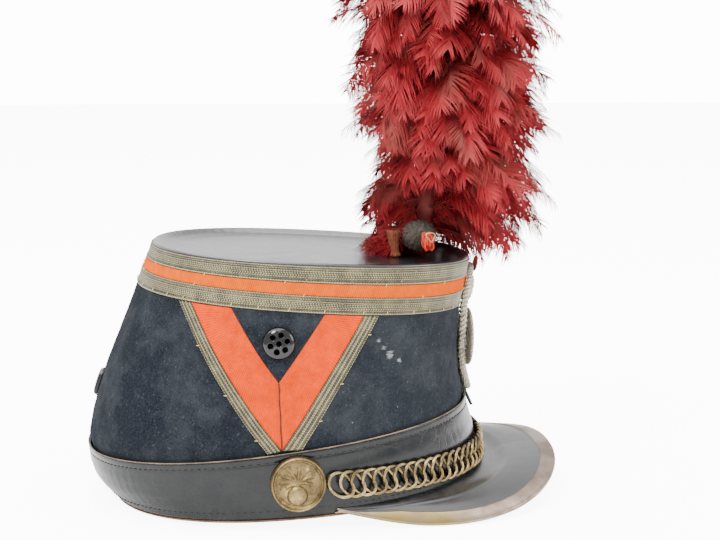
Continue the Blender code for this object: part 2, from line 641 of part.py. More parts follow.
def build_bosses(parts, cutters, frame):
    """Chain bosses with a raised flaming grenade."""
    for side, sign in (("left", 1), ("right", -1)):
        angle = sign * float(angle_at(BOSS_FORWARD, 1.0))
        profile = [(r * BOSS_RADIUS, z * BOSS_THICKNESS) for r, z in BOSS_PROFILE]
        boss = turned(f"boss_{side}", profile, 20, "aged_brass", parts, frame)
        place_on_wall(boss, angle, BOSS_HEIGHT, WELT_PROUD + GAP)

        bm = bmesh.new()
        bmesh.ops.create_uvsphere(bm, u_segments=10, v_segments=6, radius=GRENADE_BALL * MM)
        bmesh.ops.scale(bm, vec=(1, 1, 0.42), verts=bm.verts)
        bmesh.ops.translate(bm, vec=Vector((0, -0.30 * BOSS_RADIUS, 0.60 * BOSS_THICKNESS)) * MM, verts=bm.verts)
        ball = bpy.data.meshes.new(f"grenade_ball_{side}")
        bm.to_mesh(ball)
        bm.free()
        ball_object = add_object(ball.name, ball, "aged_brass", parts, boss)

        outline = [(-FLAME_ROOT, -0.04)]
        for index, (turn, length) in enumerate(FLAMES):
            tip = math.radians(turn)
            outline.append((length * math.sin(tip), length * math.cos(tip)))
            if index < len(FLAMES) - 1:
                dip = math.radians((turn + FLAMES[index + 1][0]) / 2)
                outline.append((0.30 * math.sin(dip), 0.30 * math.cos(dip)))
        outline.append((FLAME_ROOT, -0.04))
        curve = bpy.data.curves.new(f"grenade_flames_{side}", "CURVE")
        curve.dimensions = "2D"
        curve.fill_mode = "BOTH"
        curve.extrude = 0.16 * BOSS_THICKNESS * MM
        spline = curve.splines.new("POLY")
        spline.points.add(len(outline) - 1)
        for point, (x, y) in zip(spline.points, outline):
            point.co = (x * BOSS_RADIUS * MM, (y + 0.02) * BOSS_RADIUS * MM, 0, 1)
        spline.use_cyclic_u = True
        drawn = bpy.data.objects.new(curve.name, curve)
        bpy.context.scene.collection.objects.link(drawn)
        flames_mesh = bpy.data.meshes.new_from_object(drawn)
        bpy.data.objects.remove(drawn, do_unlink=True)
        flames_mesh.name = f"grenade_flames_{side}"
        bm = bmesh.new()
        bm.from_mesh(flames_mesh)
        bmesh.ops.remove_doubles(bm, verts=bm.verts, dist=1e-6)
        bm.to_mesh(flames_mesh)
        bm.free()
        flames = add_object(flames_mesh.name, flames_mesh, "aged_brass", parts, boss)
        flames.location = (0, 0, 0.66 * BOSS_THICKNESS * MM)
        for raised in (ball_object, flames):
            combine(boss, as_cutter(raised, cutters), "UNION")


def build_vents(parts, cutters, frame):
    """Enamelled vent domes with six holes round a seventh, between the chevron's arms."""
    notch = CHEVRON["notch"][1]
    level = notch + VENT_SHARE * (GALON_LOW - notch)
    for side, sign in (("left", 1), ("right", -1)):
        angle = sign * float(angle_at(VENT_FORWARD, level))
        dome = [(VENT_RADIUS * math.sin(t), VENT_DOME * (0.12 + 0.88 * math.cos(t)))
                for t in np.linspace(0, math.pi / 2, 5)]
        vent = turned(f"vent_{side}", dome + [(VENT_RADIUS, 0.0), (0.0, 0.0)], 16, "black_enamel", parts, frame)
        place_on_wall(vent, angle, float(oval(angle, level)[2]), GAP)
        bm = bmesh.new()
        for index in range(7):
            reach = 0.0 if index == 0 else VENT_RING
            turn = index * math.pi / 3
            floor = VENT_DOME * (0.12 + 0.88 * math.cos(math.asin(reach / VENT_RADIUS))) - VENT_HOLE_DEPTH
            made = bmesh.ops.create_cone(bm, cap_ends=True, segments=6, radius1=VENT_HOLE * MM,
                                         radius2=VENT_HOLE * MM, depth=VENT_DOME * MM)
            centre = (reach * math.cos(turn), reach * math.sin(turn), floor + VENT_DOME / 2)
            bmesh.ops.translate(bm, vec=Vector(centre) * MM, verts=made["verts"])
        mesh = bpy.data.meshes.new(f"vent_holes_{side}")
        bm.to_mesh(mesh)
        bm.free()
        holes = add_object(mesh.name, mesh, "black_enamel", parts, vent)
        combine(vent, as_cutter(holes, cutters), "DIFFERENCE")


def front_point(height, side, out):
    """Point in front of the crown at a height, a distance from its middle line and off its surface."""
    level = level_at(0.0, height)
    point, normal, _, _ = wall_frame(0.0, level)
    curve = side ** 2 / (2 * HALF_WIDTH)
    return point + normal * out + np.array([side, curve, 0.0])


def tube(name, points, radii, sides, material, parts, frame, closed=False):
    """Tube along a poly curve with filled caps, its radius given point by point."""
    curve = bpy.data.curves.new(name, "CURVE")
    curve.dimensions = "3D"
    curve.bevel_depth = MM
    curve.bevel_resolution = (sides - 4) // 2
    curve.use_fill_caps = not closed
    spline = curve.splines.new("POLY")
    spline.points.add(len(points) - 1)
    spline.use_cyclic_u = closed
    for knot, point, radius in zip(spline.points, points, radii):
        knot.co = (*(Vector(point) * MM), 1)
        knot.radius = radius
    drawn = bpy.data.objects.new(name, curve)
    bpy.context.scene.collection.objects.link(drawn)
    mesh = bpy.data.meshes.new_from_object(drawn)
    bpy.data.objects.remove(drawn, do_unlink=True)
    bm = bmesh.new()
    bm.from_mesh(mesh)
    bmesh.ops.remove_doubles(bm, verts=bm.verts, dist=1e-6)
    bm.to_mesh(mesh)
    bm.free()
    mesh.materials.clear()
    return add_object(name, mesh, material, parts, frame)


def build_front_trim(parts, cutters, frame):
    """Silver cord loop, its knot, a round cockade on a post, a pointed tongue and a small tab."""
    seat = 3 * GAP + max(BRAID_WALL, TONGUE_WALL)
    turn = np.linspace(0, 2 * math.pi, 24, endpoint=False)
    share = (1 - np.cos(turn)) / 2
    heights = CORD_LOW + (CORD_HIGH - CORD_LOW) * share
    sides = CORD_SPREAD * np.sin(turn) * (0.35 + 0.75 * share)
    radii = CORD_RADIUS * (0.62 + 0.38 * np.clip(share * 5, 0, 1))
    points = [front_point(h, s, seat + CORD_RADIUS) for h, s in zip(heights, sides)]
    tube("front_cord", points, radii, 6, "silver_cord", parts, frame, closed=True)

    bpy.ops.mesh.primitive_torus_add(major_radius=KNOT_RADIUS * MM, minor_radius=KNOT_WIRE * MM,
                                     major_segments=12, minor_segments=6)
    knot = bpy.context.object
    knot.name = "cord_knot"
    knot.data.materials.append(make_material("silver_cord"))
    move_to(knot, parts, frame)
    place_on_wall(knot, 0.0, KNOT_HEIGHT, seat + KNOT_WIRE)
    for polygon in knot.data.polygons:
        polygon.use_smooth = True

    profile = [(r * COCKADE_RADIUS, COCKADE_STAND + z * COCKADE_THICKNESS) for r, z in COCKADE_PROFILE[:-1]]
    profile += [(COCKADE_POST, COCKADE_STAND), (COCKADE_POST, GAP), (0.0, GAP)]
    cockade = turned("cockade", profile, 20, "silver_cord", parts, frame)
    place_on_wall(cockade, 0.0, COCKADE_HEIGHT, 0.0)

    length = np.linspace(0, 1, 6)
    half = TONGUE_WIDTH / 2 * np.sqrt(np.clip(1 - length ** 1.6, 0.004, 1))
    start = CORD_LOW + TONGUE_LENGTH * TONGUE_HIDDEN
    outs = 2 * GAP + TONGUE_STAND * length ** 2
    middle = np.array([front_point(start - TONGUE_LENGTH * s, 0.0, out) for s, out in zip(length, outs)])
    grid = np.stack([middle + half[:, None] * [s, 0, 0] + [0, 0.3 * s * s, 0] for s in (-1, 0, 1)], axis=1)
    mesh = loft_mesh("cord_tongue", grid)
    if mesh.polygons[0].normal.y > 0:
        mesh.flip_normals()
    tongue = add_object("cord_tongue", mesh, "green_metal", parts, frame)
    solidify(tongue, TONGUE_WALL, 1)

    bpy.ops.mesh.primitive_cylinder_add(vertices=16, radius=0.5 * MM, depth=TAB_WALL * MM)
    tab = bpy.context.object
    tab.name = "front_tab"
    tab.scale = (TAB_WIDTH, TAB_LENGTH, 1)
    bpy.context.view_layer.update()
    bpy.ops.object.transform_apply(location=False, rotation=False, scale=True)
    tab.data.materials.append(make_material("green_metal"))
    move_to(tab, parts, frame)
    place_on_wall(tab, 0.0, TAB_HEIGHT, seat + 2 * CORD_RADIUS + GAP + TAB_WALL / 2)


def move_to(obj, collection, parent):
    """Move an object that an operator made into the parts and onto the cap's frame."""
    for old in list(obj.users_collection):
        old.objects.unlink(obj)
    collection.objects.link(obj)
    obj.parent = parent


def build_rear_tab(parts, frame):
    """Small tab that stands off the cloth on the back's middle line."""
    levels = np.linspace(3.40, 3.95, 3)[:, None]
    spread = REAR_TAB_WIDTH / (2 * HALF_WIDTH) * np.linspace(-1, 1, 5)[None, :]
    grid = wall_point(math.pi + spread, levels, GAP)
    tab = add_object("rear_tab", loft_mesh("rear_tab", grid), "black_patent", parts, frame)
    solidify(tab, REAR_TAB_WALL, 1)


def plume_axis(share):
    """Plume's middle line: reach and height at a share of its height."""
    share = np.asarray(share, float)
    foot = top_height(PLUME_FORWARD - PLUME_CORE) - TOP_DEPTH + GAP
    reach = PLUME_FORWARD + PLUME_LEAN * np.clip(share / 0.35, 0, 1) ** 1.5
    return reach, foot + PLUME_HEIGHT * share


def build_plume(parts, frame):
    """Tiers of drooping locks fused to a core, and the woolly bulb, stem and bead at its foot."""
    turn = ring_angles(PLUME_SIDES)
    rows = []

    def ring(radius, share, lift=0.0):
        reach, height = plume_axis(share)
        rows.append(np.stack([radius * np.sin(turn), -reach - radius * np.cos(turn),
                              height + lift + 0 * turn], axis=1))

    ring(PLUME_CORE + 0 * turn, 0.0)
    for index, (_, root, hem, reach) in enumerate(PLUME_TIERS):
        lock = np.where((np.arange(PLUME_SIDES) + index) % 2 == 0, 1.0, 0.0)
        swing = 1 + 0.05 * np.sin(3 * turn + 2.1 * index)
        outer = PLUME_HALF_WIDTH * reach * swing * (0.84 + 0.16 * lock)
        drop = (0.7 - 1.4 * lock) * PLUME_SHEET
        middle = PLUME_CORE + (outer - PLUME_CORE) * 0.62
        shoulder = root - 0.28 * (root - hem)
        sheet = PLUME_SHEET / PLUME_HEIGHT
        ring(PLUME_CORE + 0 * turn, root - 2.2 * sheet)
        ring(middle, shoulder - 1.2 * sheet)
        ring(outer, hem, drop)
        ring(middle + 0.4 * PLUME_SHEET, shoulder)
        ring(PLUME_CORE + 0 * turn, root)
    ring(PLUME_CORE / 2 + 0 * turn, 0.995)
    mesh = loft_mesh("plume_feathers", np.array(rows), closed_columns=True, ends="point")
    make_outward(mesh)
    add_object("plume_feathers", mesh, "red_feather", parts, frame)

    near = -1
    side = near * (PLUME_CORE + GAP + BULB_RADII[1])
    seat = top_height(PLUME_FORWARD) - TOP_DEPTH
    bulb = ellipsoid("plume_bulb", BULB_RADII, 12, 8, "grey_wool", parts, frame)
    bulb.location = Vector((side, -PLUME_FORWARD + 2.0, seat + BULB_RISE)) * MM
    bulb.rotation_euler = Euler((0, 0, math.pi / 2))
    stem_reach = PLUME_FORWARD - 2.0 - BULB_RADII[0] - GAP - STEM_MOUTH
    bpy.ops.mesh.primitive_cone_add(vertices=12, radius1=STEM_FOOT * MM, radius2=STEM_MOUTH * MM,
                                    depth=STEM_LENGTH * MM)
    stem = bpy.context.object
    stem.name = "plume_stem"
    stem.data.materials.append(make_material("orange_cord"))
    move_to(stem, parts, frame)
    foot = top_height(stem_reach - STEM_FOOT) - TOP_DEPTH + GAP
    stem.location = Vector((side, -stem_reach, foot + STEM_LENGTH / 2)) * MM

    bead = ellipsoid("plume_bead", BEAD_RADII, 10, 6, "orange_cord", parts, frame)
    away = Vector((near * 0.96, -0.28, 0))
    reach_out = BEAD_TUCK / math.hypot(away.x / BULB_RADII[1], away.y / BULB_RADII[0])
    bead_place = away * (reach_out + GAP + BEAD_RADII[0]) - Vector((0, 0, BEAD_DROP))
    bead.location = bulb.location + bead_place * MM


def ellipsoid(name, radii, segments, rings, material, parts, frame):
    """Sphere stretched to three radii, its long axis along its own X."""
    bm = bmesh.new()
    bmesh.ops.create_uvsphere(bm, u_segments=segments, v_segments=rings, radius=MM)
    bmesh.ops.scale(bm, vec=radii, verts=bm.verts)
    mesh = bpy.data.meshes.new(name)
    bm.to_mesh(mesh)
    bm.free()
    return add_object(name, mesh, material, parts, frame)


def seat_on_floor(parts, frame):
    """Set the cap on the floor, its bounding box's bottom centre at the origin."""
    bpy.context.view_layer.update()
    graph = bpy.context.evaluated_depsgraph_get()
    corners = []
    for obj in parts.objects:
        shown = obj.evaluated_get(graph)
        mesh = shown.to_mesh()
        corners += [shown.matrix_world @ v.co for v in mesh.vertices]
        shown.to_mesh_clear()
    points = np.array([tuple(c) for c in corners])
    low, high = points.min(axis=0), points.max(axis=0)
    frame.location = (0.0, -(low[1] + high[1]) / 2, -low[2])


def main():
    """Build every piece."""
    clear_scene()
    parts = bpy.data.collections.new("shako_hat")
    cutters = bpy.data.collections.new("cutters")
    for collection in (parts, cutters):
        bpy.context.scene.collection.children.link(collection)
    frame = bpy.data.objects.new("cap_frame", None)
    bpy.context.scene.collection.objects.link(frame)
    frame.rotation_euler = Euler((-REST_TILT, 0, 0))

    skirt_level = build_crown(parts, frame)
    build_braid(parts, frame, skirt_level)
    build_chevrons(parts, frame)
    build_band(parts, frame)
    build_peak(parts, frame)
    build_chain(parts, cutters, frame)
    build_bosses(parts, cutters, frame)
    build_vents(parts, cutters, frame)
    build_front_trim(parts, cutters, frame)
    build_rear_tab(parts, frame)
    build_plume(parts, frame)
    seat_on_floor(parts, frame)


main()
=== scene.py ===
"""Dressed shako: wool crown, metal lace, patent leather, chin chain and a feather plume.

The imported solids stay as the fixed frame; every piece here is worked out on the same crown surface.
Lengths inside the functions are millimetres in the cap's own frame, whose hem is level.
to_row() turns them to the row frame in metres, tilted as the cap rests.
"""

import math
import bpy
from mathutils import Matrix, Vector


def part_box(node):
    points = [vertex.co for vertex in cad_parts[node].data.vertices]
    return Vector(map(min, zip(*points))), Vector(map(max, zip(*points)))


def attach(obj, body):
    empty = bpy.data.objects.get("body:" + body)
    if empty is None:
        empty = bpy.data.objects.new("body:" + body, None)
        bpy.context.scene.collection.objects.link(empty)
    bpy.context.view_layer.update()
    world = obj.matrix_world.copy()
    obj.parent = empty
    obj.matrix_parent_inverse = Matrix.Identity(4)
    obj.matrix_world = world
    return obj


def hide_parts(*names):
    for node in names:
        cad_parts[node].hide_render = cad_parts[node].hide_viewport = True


bl_info = {
    "name": "Plumed shako",
    "version": (1, 0, 0),
    "blender": (4, 5, 0),
    "location": "3D View > Sidebar > Shako",
    "description": "Builds the finished surfaces of a plumed shako round its packed solids",
    "category": "Object",
}

import bpy
import numpy as np
from mathutils import Vector

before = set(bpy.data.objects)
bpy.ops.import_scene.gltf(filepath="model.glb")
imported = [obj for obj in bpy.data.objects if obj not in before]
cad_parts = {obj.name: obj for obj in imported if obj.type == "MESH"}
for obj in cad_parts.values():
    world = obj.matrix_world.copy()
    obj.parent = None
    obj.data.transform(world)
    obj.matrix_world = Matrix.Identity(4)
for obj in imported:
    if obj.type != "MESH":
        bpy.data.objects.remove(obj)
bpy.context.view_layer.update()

MM = 0.001
REST_TILT = math.radians(3.08)
SWEAT_FOOT = 0.7
TOP_SKIRT = 0.5
TOP_DEPTH = 2.4

# Crown sections from hem to top: rear height, front height, rear reach, front reach, half width, squareness
SECTION_SCALE = np.array([131.9, 113.8, -103.0, 103.0, 84.0, 1.0])
NARROW_FRONT = 0.031
CROWN_SECTIONS = np.array([
    (0.000, 0.000, 0.885, 1.050, 1.000, 2.20),
    (0.100, 0.160, 0.983, 1.034, 1.000, 2.20),
    (0.204, 0.329, 1.000, 0.992, 0.986, 2.20),
    (0.334, 0.440, 0.966, 0.964, 0.968, 2.20),
    (0.485, 0.554, 0.897, 0.960, 0.947, 2.22),
    (0.652, 0.668, 0.798, 0.970, 0.924, 2.24),
    (0.847, 0.782, 0.684, 0.984, 0.888, 2.25),
    (1.000, 1.000, 0.592, 1.046, 0.852, 2.25),
])
BAND_TOP, CLOTH_START, GALON_LOW, TOP = 2.0, 2.36, 6.0, 7.0
# The cloth's outer face behind the band, off the crown surface, and its thickness, in mm
CLOTH_BEHIND_BAND = -1.75
CLOTH_WALL = 2.0

# Braid rings: share of the height from GALON_LOW to the top leather's skirt
GALON = {"galon_lace_lower": (0.0, 0.374), "galon_stripe": (0.38, 0.645), "galon_lace_upper": (0.651, 1.0)}

# Chevron corners: forward reach in mm, crown level
CHEVRON_TOP = 5.985
CHEVRON = {
    "front_outer": (42.1, CHEVRON_TOP), "front_inner": (22.8, CHEVRON_TOP),
    "notch": (-2.0, 4.24), "tip": (-2.7, 2.16),
    "rear_inner": (-22.5, CHEVRON_TOP), "rear_outer": (-41.6, CHEVRON_TOP),
    "front_edge": (49.8, CHEVRON_TOP), "front_foot": (7.4, 2.10),
    "rear_edge": (-47.7, CHEVRON_TOP), "rear_foot": (-9.7, 2.10),
}

# Peak, measured as the cap rests
PEAK = {"wall": 1.5, "tip": 149.0, "widest": 71.0, "end": 23.0, "half_width": 88.0, "square": 2.34,
        "tip_rise": 18.6, "end_rise": 9.6, "root": 3.0, "dome": 2.2, "crease": 3.0, "edge_rise": 1.34,
        "binding": 7.8, "under": 5.0}

BOSS = {"radius": 13.9, "forward": 4.2, "height": 17.9, "seat": 1.0}
CHAIN = {"half_length": 5.9, "half_height": 6.6, "pitch": 5.7, "wire": 1.75, "twist": 1.05,
         "side": 16.2, "front": 11.0}
VENT = {"radius": 8.0, "dome": 3.8, "forward": -0.3, "height": 86.9, "hole": 1.3, "ring": 4.2, "deep": 2.0}
CORD = {"low": 38.5, "high": 107.0, "spread": 13.2, "radius": 2.1, "seat": 1.2,
        "knot": 95.5, "knot_radius": 5.2}
COCKADE = {"radius": 16.0, "thickness": 1.7, "stand": 6.9, "height": 67.5}
TONGUE = {"length": 22.0, "hidden": 0.47, "half_width": 4.0}
TAB_HEIGHT = 108.9
# Scuffs on the cloth's right side: forward reach mm, crown level, radius mm
SCUFFS = ((49.0, 5.25, 5.0), (51.5, 5.05, 6.5), (54.8, 4.80, 9.0), (59.5, 4.55, 6.0),
          (83.0, 5.2, 1.3), (70.5, 3.45, 1.6), (57.0, 2.95, 1.7), (33.0, 2.75, 2.0))
PLUME = {"forward": 82.0, "lean": 22.0, "height": 190.0, "core": 5.6}
BULB = {"radii": (8.0, 9.2, 8.0), "rise": 12.6}

# A wave texture's scale for a period of one unit
WAVE = 0.31416

# Stage: floor's half side in metres, its glow for the camera, and the world's strengths
FLOOR_SIDE = 8.0
FLOOR_GLOW = 8.0
WORLD_LIGHT, WORLD_SEEN, WORLD_IN_GLOSS = 3.2, 14.0, 0.52
# Camera: turn toward the front and tilt down in radians, focal length and sensor in mm, and its place from the
# cap's origin in metres
CAMERA_TURN, CAMERA_DOWN = 0.1118, 0.1515
CAMERA_LENS, CAMERA_SENSOR = 65.76, 36.0
CAMERA_PLACE = (-0.70436, 0.03599, 0.21868)


def linear(code):
    """Linear colour of an sRGB hex code."""
    part = np.array([int(code[i:i + 2], 16) / 255 for i in (0, 2, 4)])
    return tuple(np.where(part <= 0.04045, part / 12.92, ((part + 0.055) / 1.055) ** 2.4))


def rgba(code):
    """Linear colour with full alpha."""
    return (*linear(code), 1.0)


# Crown surface

def smooth_rows(level):
    """Sections at fractional levels: cubic curves through the rows with the mean slope at each row."""
    rows = CROWN_SECTIONS * SECTION_SCALE
    level = np.clip(np.asarray(level, float), 0.0, TOP)
    low = np.minimum(level.astype(int), len(rows) - 2)
    part = (level - low)[..., None]
    slopes = np.gradient(rows, axis=0)
    a, b, da, db = rows[low], rows[low + 1], slopes[low], slopes[low + 1]
    return (a * (1 + 2 * part) * (1 - part) ** 2 + b * part ** 2 * (3 - 2 * part)
            + da * part * (1 - part) ** 2 - db * part ** 2 * (1 - part))


def signed_power(value, power):
    """Power of the size, with the sign kept."""
    return np.sign(value) * np.abs(value) ** power


def oval(angle, level):
    """Crown surface: a squared oval whose reach runs from rear to front and whose plane slopes with it."""
    rear_z, front_z, rear, front, half, square = np.moveaxis(smooth_rows(level), -1, 0)
    across, along = np.sin(angle), np.cos(angle)
    reach = (front + rear) / 2 + (front - rear) / 2 * signed_power(along, 2 / square)
    side = half * signed_power(across, 2 / square) * (1 - NARROW_FRONT * along)
    height = rear_z + (front_z - rear_z) * (reach - rear) / (front - rear)
    return np.stack(np.broadcast_arrays(side, -reach, height), axis=-1)


def unit(vectors):
    """Vectors at length one."""
    return vectors / np.maximum(np.linalg.norm(vectors, axis=-1, keepdims=True), 1e-9)


def wall_frame(angle, level):
    """Point of the crown, its outward normal, and its tangents round and up."""
    step = 1e-3
    angle, level = np.broadcast_arrays(np.asarray(angle, float), np.asarray(level, float))
    inner = np.clip(level, step, TOP - step)
    around = oval(angle + step, inner) - oval(angle - step, inner)
    up = oval(angle, inner + step) - oval(angle, inner - step)
    return oval(angle, level), unit(np.cross(around, up)), unit(around), unit(up)


def wall_point(angle, level, out=0.0):
    """Point at a distance outside the crown."""
    point, normal, _, _ = wall_frame(angle, level)
    return point + normal * np.broadcast_to(out, point.shape[:-1])[..., None]


def angle_at(reach, level):
    """Angle at which a level has this forward reach."""
    _, _, rear, front, _, square = np.moveaxis(smooth_rows(level), -1, 0)
    share = (np.asarray(reach, float) - (front + rear) / 2) / ((front - rear) / 2)
    return np.arccos(np.clip(signed_power(share, square / 2), -1, 1))


def level_at(angle, height):
    """Level with this height above the hem's plane, found by halving the range."""
    angle, height = np.broadcast_arrays(np.asarray(angle, float), np.asarray(height, float))
    low, high = np.zeros(angle.shape), np.full(angle.shape, TOP)
    for _ in range(26):
        middle = (low + high) / 2
        above = oval(angle, middle)[..., 2] > height
        high = np.where(above, middle, high)
        low = np.where(above, low, middle)
    return (low + high) / 2


def skirt_level(lower=0.0):
    """Level at the side where the top leather's skirt ends, lowered by a length in mm."""
    return float(level_at(math.pi / 2, float(oval(math.pi / 2, TOP)[2]) - TOP_SKIRT - lower))


def top_height(reach):
    """Height of the top edge's plane at a forward reach."""
    rear_z, front_z, rear, front, _, _ = smooth_rows(TOP)
    return rear_z + (front_z - rear_z) * (reach - rear) / (front - rear)


def tilted(points):
    """Turn about X by the rest tilt, millimetres to metres."""
    x, y, z = np.moveaxis(np.asarray(points, float), -1, 0)
    c, s = math.cos(REST_TILT), math.sin(REST_TILT)
    return np.stack([x, y * c + z * s, z * c - y * s], axis=-1) * MM


CAP_PLACE = np.array([
    0.0,
    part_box("crown_top")[0].y - tilted(oval(0.0, TOP) - [0, 0, TOP_SKIRT])[1],
    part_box("sweatband")[0].z - tilted(oval(math.pi, 0.0) - [0, 0, SWEAT_FOOT])[2],
])


def to_row(points):
    """Cap-frame millimetres to row-frame metres."""
    return tilted(points) + CAP_PLACE


def from_rest(reach, side, rise):
    """Cap-frame point of one measured as the cap rests on the floor."""
    lift = SWEAT_FOOT * math.cos(REST_TILT) - smooth_rows(0.0)[2] * math.sin(REST_TILT)
    low = np.asarray(rise, float) - lift
    c, s = math.cos(REST_TILT), math.sin(REST_TILT)
    return np.stack(np.broadcast_arrays(side, -(reach * c + low * s), low * c - reach * s), axis=-1)


def ring_angles(count):
    """Angles round the crown from the rear, with none repeated."""
    return math.pi + np.linspace(0.0, 2 * math.pi, count, endpoint=False)


def ripple(a, b, seed):
    """Sum of six sine waves in two parameters, each with a seeded direction and phase, between -1 and 1."""
    rng = np.random.default_rng(seed)
    waves = rng.integers(1, 9, (6, 2)) * rng.choice([-1, 1], (6, 2))
    phase = rng.uniform(0, 2 * math.pi, 6)
    return sum(np.sin(m * a + n * b + p) for (m, n), p in zip(waves, phase)) / 6


# Mesh building

class Surface:
    """Vertices in cap-frame millimetres, with faces, face-corner pattern coordinates and a tone."""

    def __init__(self, points, faces, uv, tone=None):
        self.points, self.faces, self.uv = points, faces, uv
        self.tone = np.zeros(len(points)) if tone is None else tone


def joined(surfaces):
    """One surface from several."""
    shift, faces, uv = 0, [], []
    for s in surfaces:
        faces += [f + shift for f in s.faces]
        uv += s.uv
        shift += len(s.points)
    return Surface(np.concatenate([s.points for s in surfaces]), faces, uv,
                   np.concatenate([s.tone for s in surfaces]))


def run_length(points, axis):
    """Distance run along an axis of a grid, read on its middle line, closed back to the start."""
    line = np.take(points, points.shape[1 - axis] // 2, axis=1 - axis)
    steps = np.linalg.norm(np.diff(np.concatenate([line, line[:1]]), axis=0), axis=1)
    return np.append(0, np.cumsum(steps))


def surface(points, wrap_rows=False, wrap_columns=False, poles=(False, False), u=None, v=None):
    """Grid of points as a surface; a wrapped side closes on itself and a pole closes an end in one point."""
    rows, columns = points.shape[:2]
    u = run_length(points, 1) if u is None else u
    v = run_length(points, 0) if v is None else v
    i = np.arange(rows if wrap_rows else rows - 1)[:, None]
    j = np.arange(columns if wrap_columns else columns - 1)[None, :]
    corners = ((i, j), (i, j + 1), (i + 1, j + 1), (i + 1, j))
    index = np.stack([(a % rows) * columns + b % columns for a, b in corners], axis=-1)
    place = np.stack([np.stack(np.broadcast_arrays(u[b], v[a]), axis=-1) for a, b in corners], axis=-2)
    flat = points.reshape(-1, 3)
    faces, uv = [index.reshape(-1, 4)], [place.reshape(-1, 4, 2)]
    for end, row, turn in ((poles[0], 0, 1), (poles[1], rows - 1, -1)):
        if end:
            flat = np.concatenate([flat, points[row].mean(axis=0)[None]])
            near = row * columns + np.arange(columns)
            far = row * columns + (np.arange(columns) + 1) % columns
            fan = np.stack([near, far, np.full(columns, len(flat) - 1)], axis=1)[:, ::turn]
            faces.append(fan[:, ::-1])
            uv.append(np.stack([u[fan[:, ::-1] % columns], np.full(fan.shape, v[row])], axis=-1))
    return Surface(flat, faces, uv)


def shell(outer, inner, wrap=False, u=None, v=None):
    """Closed slab between an outer and an inner grid, with walls along its open edges."""
    rows, columns = outer.shape[:2]
    loop = np.concatenate([outer, inner[::-1]], axis=0)
    v = run_length(outer, 0)[:rows] if v is None else v
    back = np.interp(np.linspace(1, 0, len(inner)), np.linspace(0, 1, rows), v)
    v = np.concatenate([v, back, v[:1]])
    made = surface(loop, wrap_rows=True, wrap_columns=wrap, u=u, v=v)
    if not wrap:
        row = np.arange(rows - 1)
        twin = 2 * rows - 1 - row
        for column, turn in ((0, 1), (columns - 1, -1)):
            cap = np.stack([row, row + 1, twin - 1, twin], axis=1) * columns + column
            made.faces.append(cap[:, ::turn])
            made.uv.append(np.zeros((len(cap), 4, 2)))
    return made


def tubes(paths, normals, radius, sides, closed=False):
    """Round tubes along paths (tube, point, 3), each ring square to the path; open ends close in a point."""
    if closed:
        ahead = np.roll(paths, -1, axis=1) - np.roll(paths, 1, axis=1)
    else:
        ahead = np.gradient(paths, axis=1)
    side = unit(np.cross(unit(ahead), normals))
    top = np.cross(side, unit(ahead))
    turn = np.linspace(0, 2 * math.pi, sides, endpoint=False)[:, None]
    radius = np.broadcast_to(radius, paths.shape[:2])[:, :, None, None]
    rings = paths[:, :, None] + radius * (np.cos(turn) * top[:, :, None] + np.sin(turn) * side[:, :, None])
    count = len(paths)
    one = surface(rings[0], wrap_rows=closed, wrap_columns=True, poles=(not closed, not closed))
    flat = rings.reshape(count, -1, 3)
    if not closed:
        flat = np.concatenate([flat, paths[:, :1], paths[:, -1:]], axis=1)
    shift = np.arange(count)[:, None, None] * flat.shape[1]
    faces = [(f[None] + shift).reshape(-1, f.shape[1]) for f in one.faces]
    uv = [np.broadcast_to(w[None], (count, *w.shape)).reshape(-1, *w.shape[1:]) for w in one.uv]
    return Surface(flat.reshape(-1, 3), faces, uv)


def outward(points, faces):
    """Whether the faces of a closed surface hold a positive volume, so that they face outward."""
    volume = sum(np.einsum("ij,ij->i", points[f[:, 0]], np.cross(points[f[:, k]], points[f[:, k + 1]])).sum()
                 for f in faces for k in range(1, f.shape[1] - 1))
    return volume >= 0


def make_piece(name, shape, material, replaces=(), closed=True):
    """Put a surface in the scene as a piece that rides on the cap."""
    points = to_row(shape.points)
    faces, uv = shape.faces, shape.uv
    if closed and not outward(points, faces):
        faces, uv = [f[:, ::-1] for f in faces], [w[:, ::-1] for w in uv]
    loops = np.concatenate([f.ravel() for f in faces]).astype(np.int32)
    sizes = np.concatenate([np.full(len(f), f.shape[1]) for f in faces])
    mesh = bpy.data.meshes.new(name)
    mesh.vertices.add(len(points))
    mesh.vertices.foreach_set("co", points.astype(np.float32).ravel())
    mesh.loops.add(len(loops))
    mesh.loops.foreach_set("vertex_index", loops)
    mesh.polygons.add(len(sizes))
    mesh.polygons.foreach_set("loop_start", (np.cumsum(sizes) - sizes).astype(np.int32))
    mesh.polygons.foreach_set("use_smooth", np.ones(len(sizes), bool))
    mesh.uv_layers.new(name="pattern").data.foreach_set(
        "uv", np.concatenate([w.reshape(-1) for w in uv]).astype(np.float32))
    mesh.attributes.new("tone", "FLOAT", "POINT").data.foreach_set("value", shape.tone.astype(np.float32))
    mesh.update(calc_edges=True)
    mesh.validate()
    mesh.materials.append(material)
    piece = bpy.data.objects.new(name, mesh)
    bpy.context.scene.collection.objects.link(piece)
    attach(piece, "root")
    if replaces:
        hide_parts(*replaces)
    return piece


# Finishes

def node(tree, kind, inputs=None, stops=(), **settings):
    """Shader node with its settings, its colour stops, and its sockets set or linked."""
    made = tree.nodes.new("ShaderNode" + kind)
    for key, value in settings.items():
        setattr(made, key, value)
    for place, (position, colour) in enumerate(stops):
        stop = made.color_ramp.elements[place] if place < 2 else made.color_ramp.elements.new(position)
        stop.position, stop.color = position, colour
    for key, value in (inputs or {}).items():
        if isinstance(value, bpy.types.Node):
            value = next(o for o in value.outputs if o.enabled)
        if isinstance(value, bpy.types.NodeSocket):
            tree.links.new(value, made.inputs[key])
        else:
            made.inputs[key].default_value = value
    return made


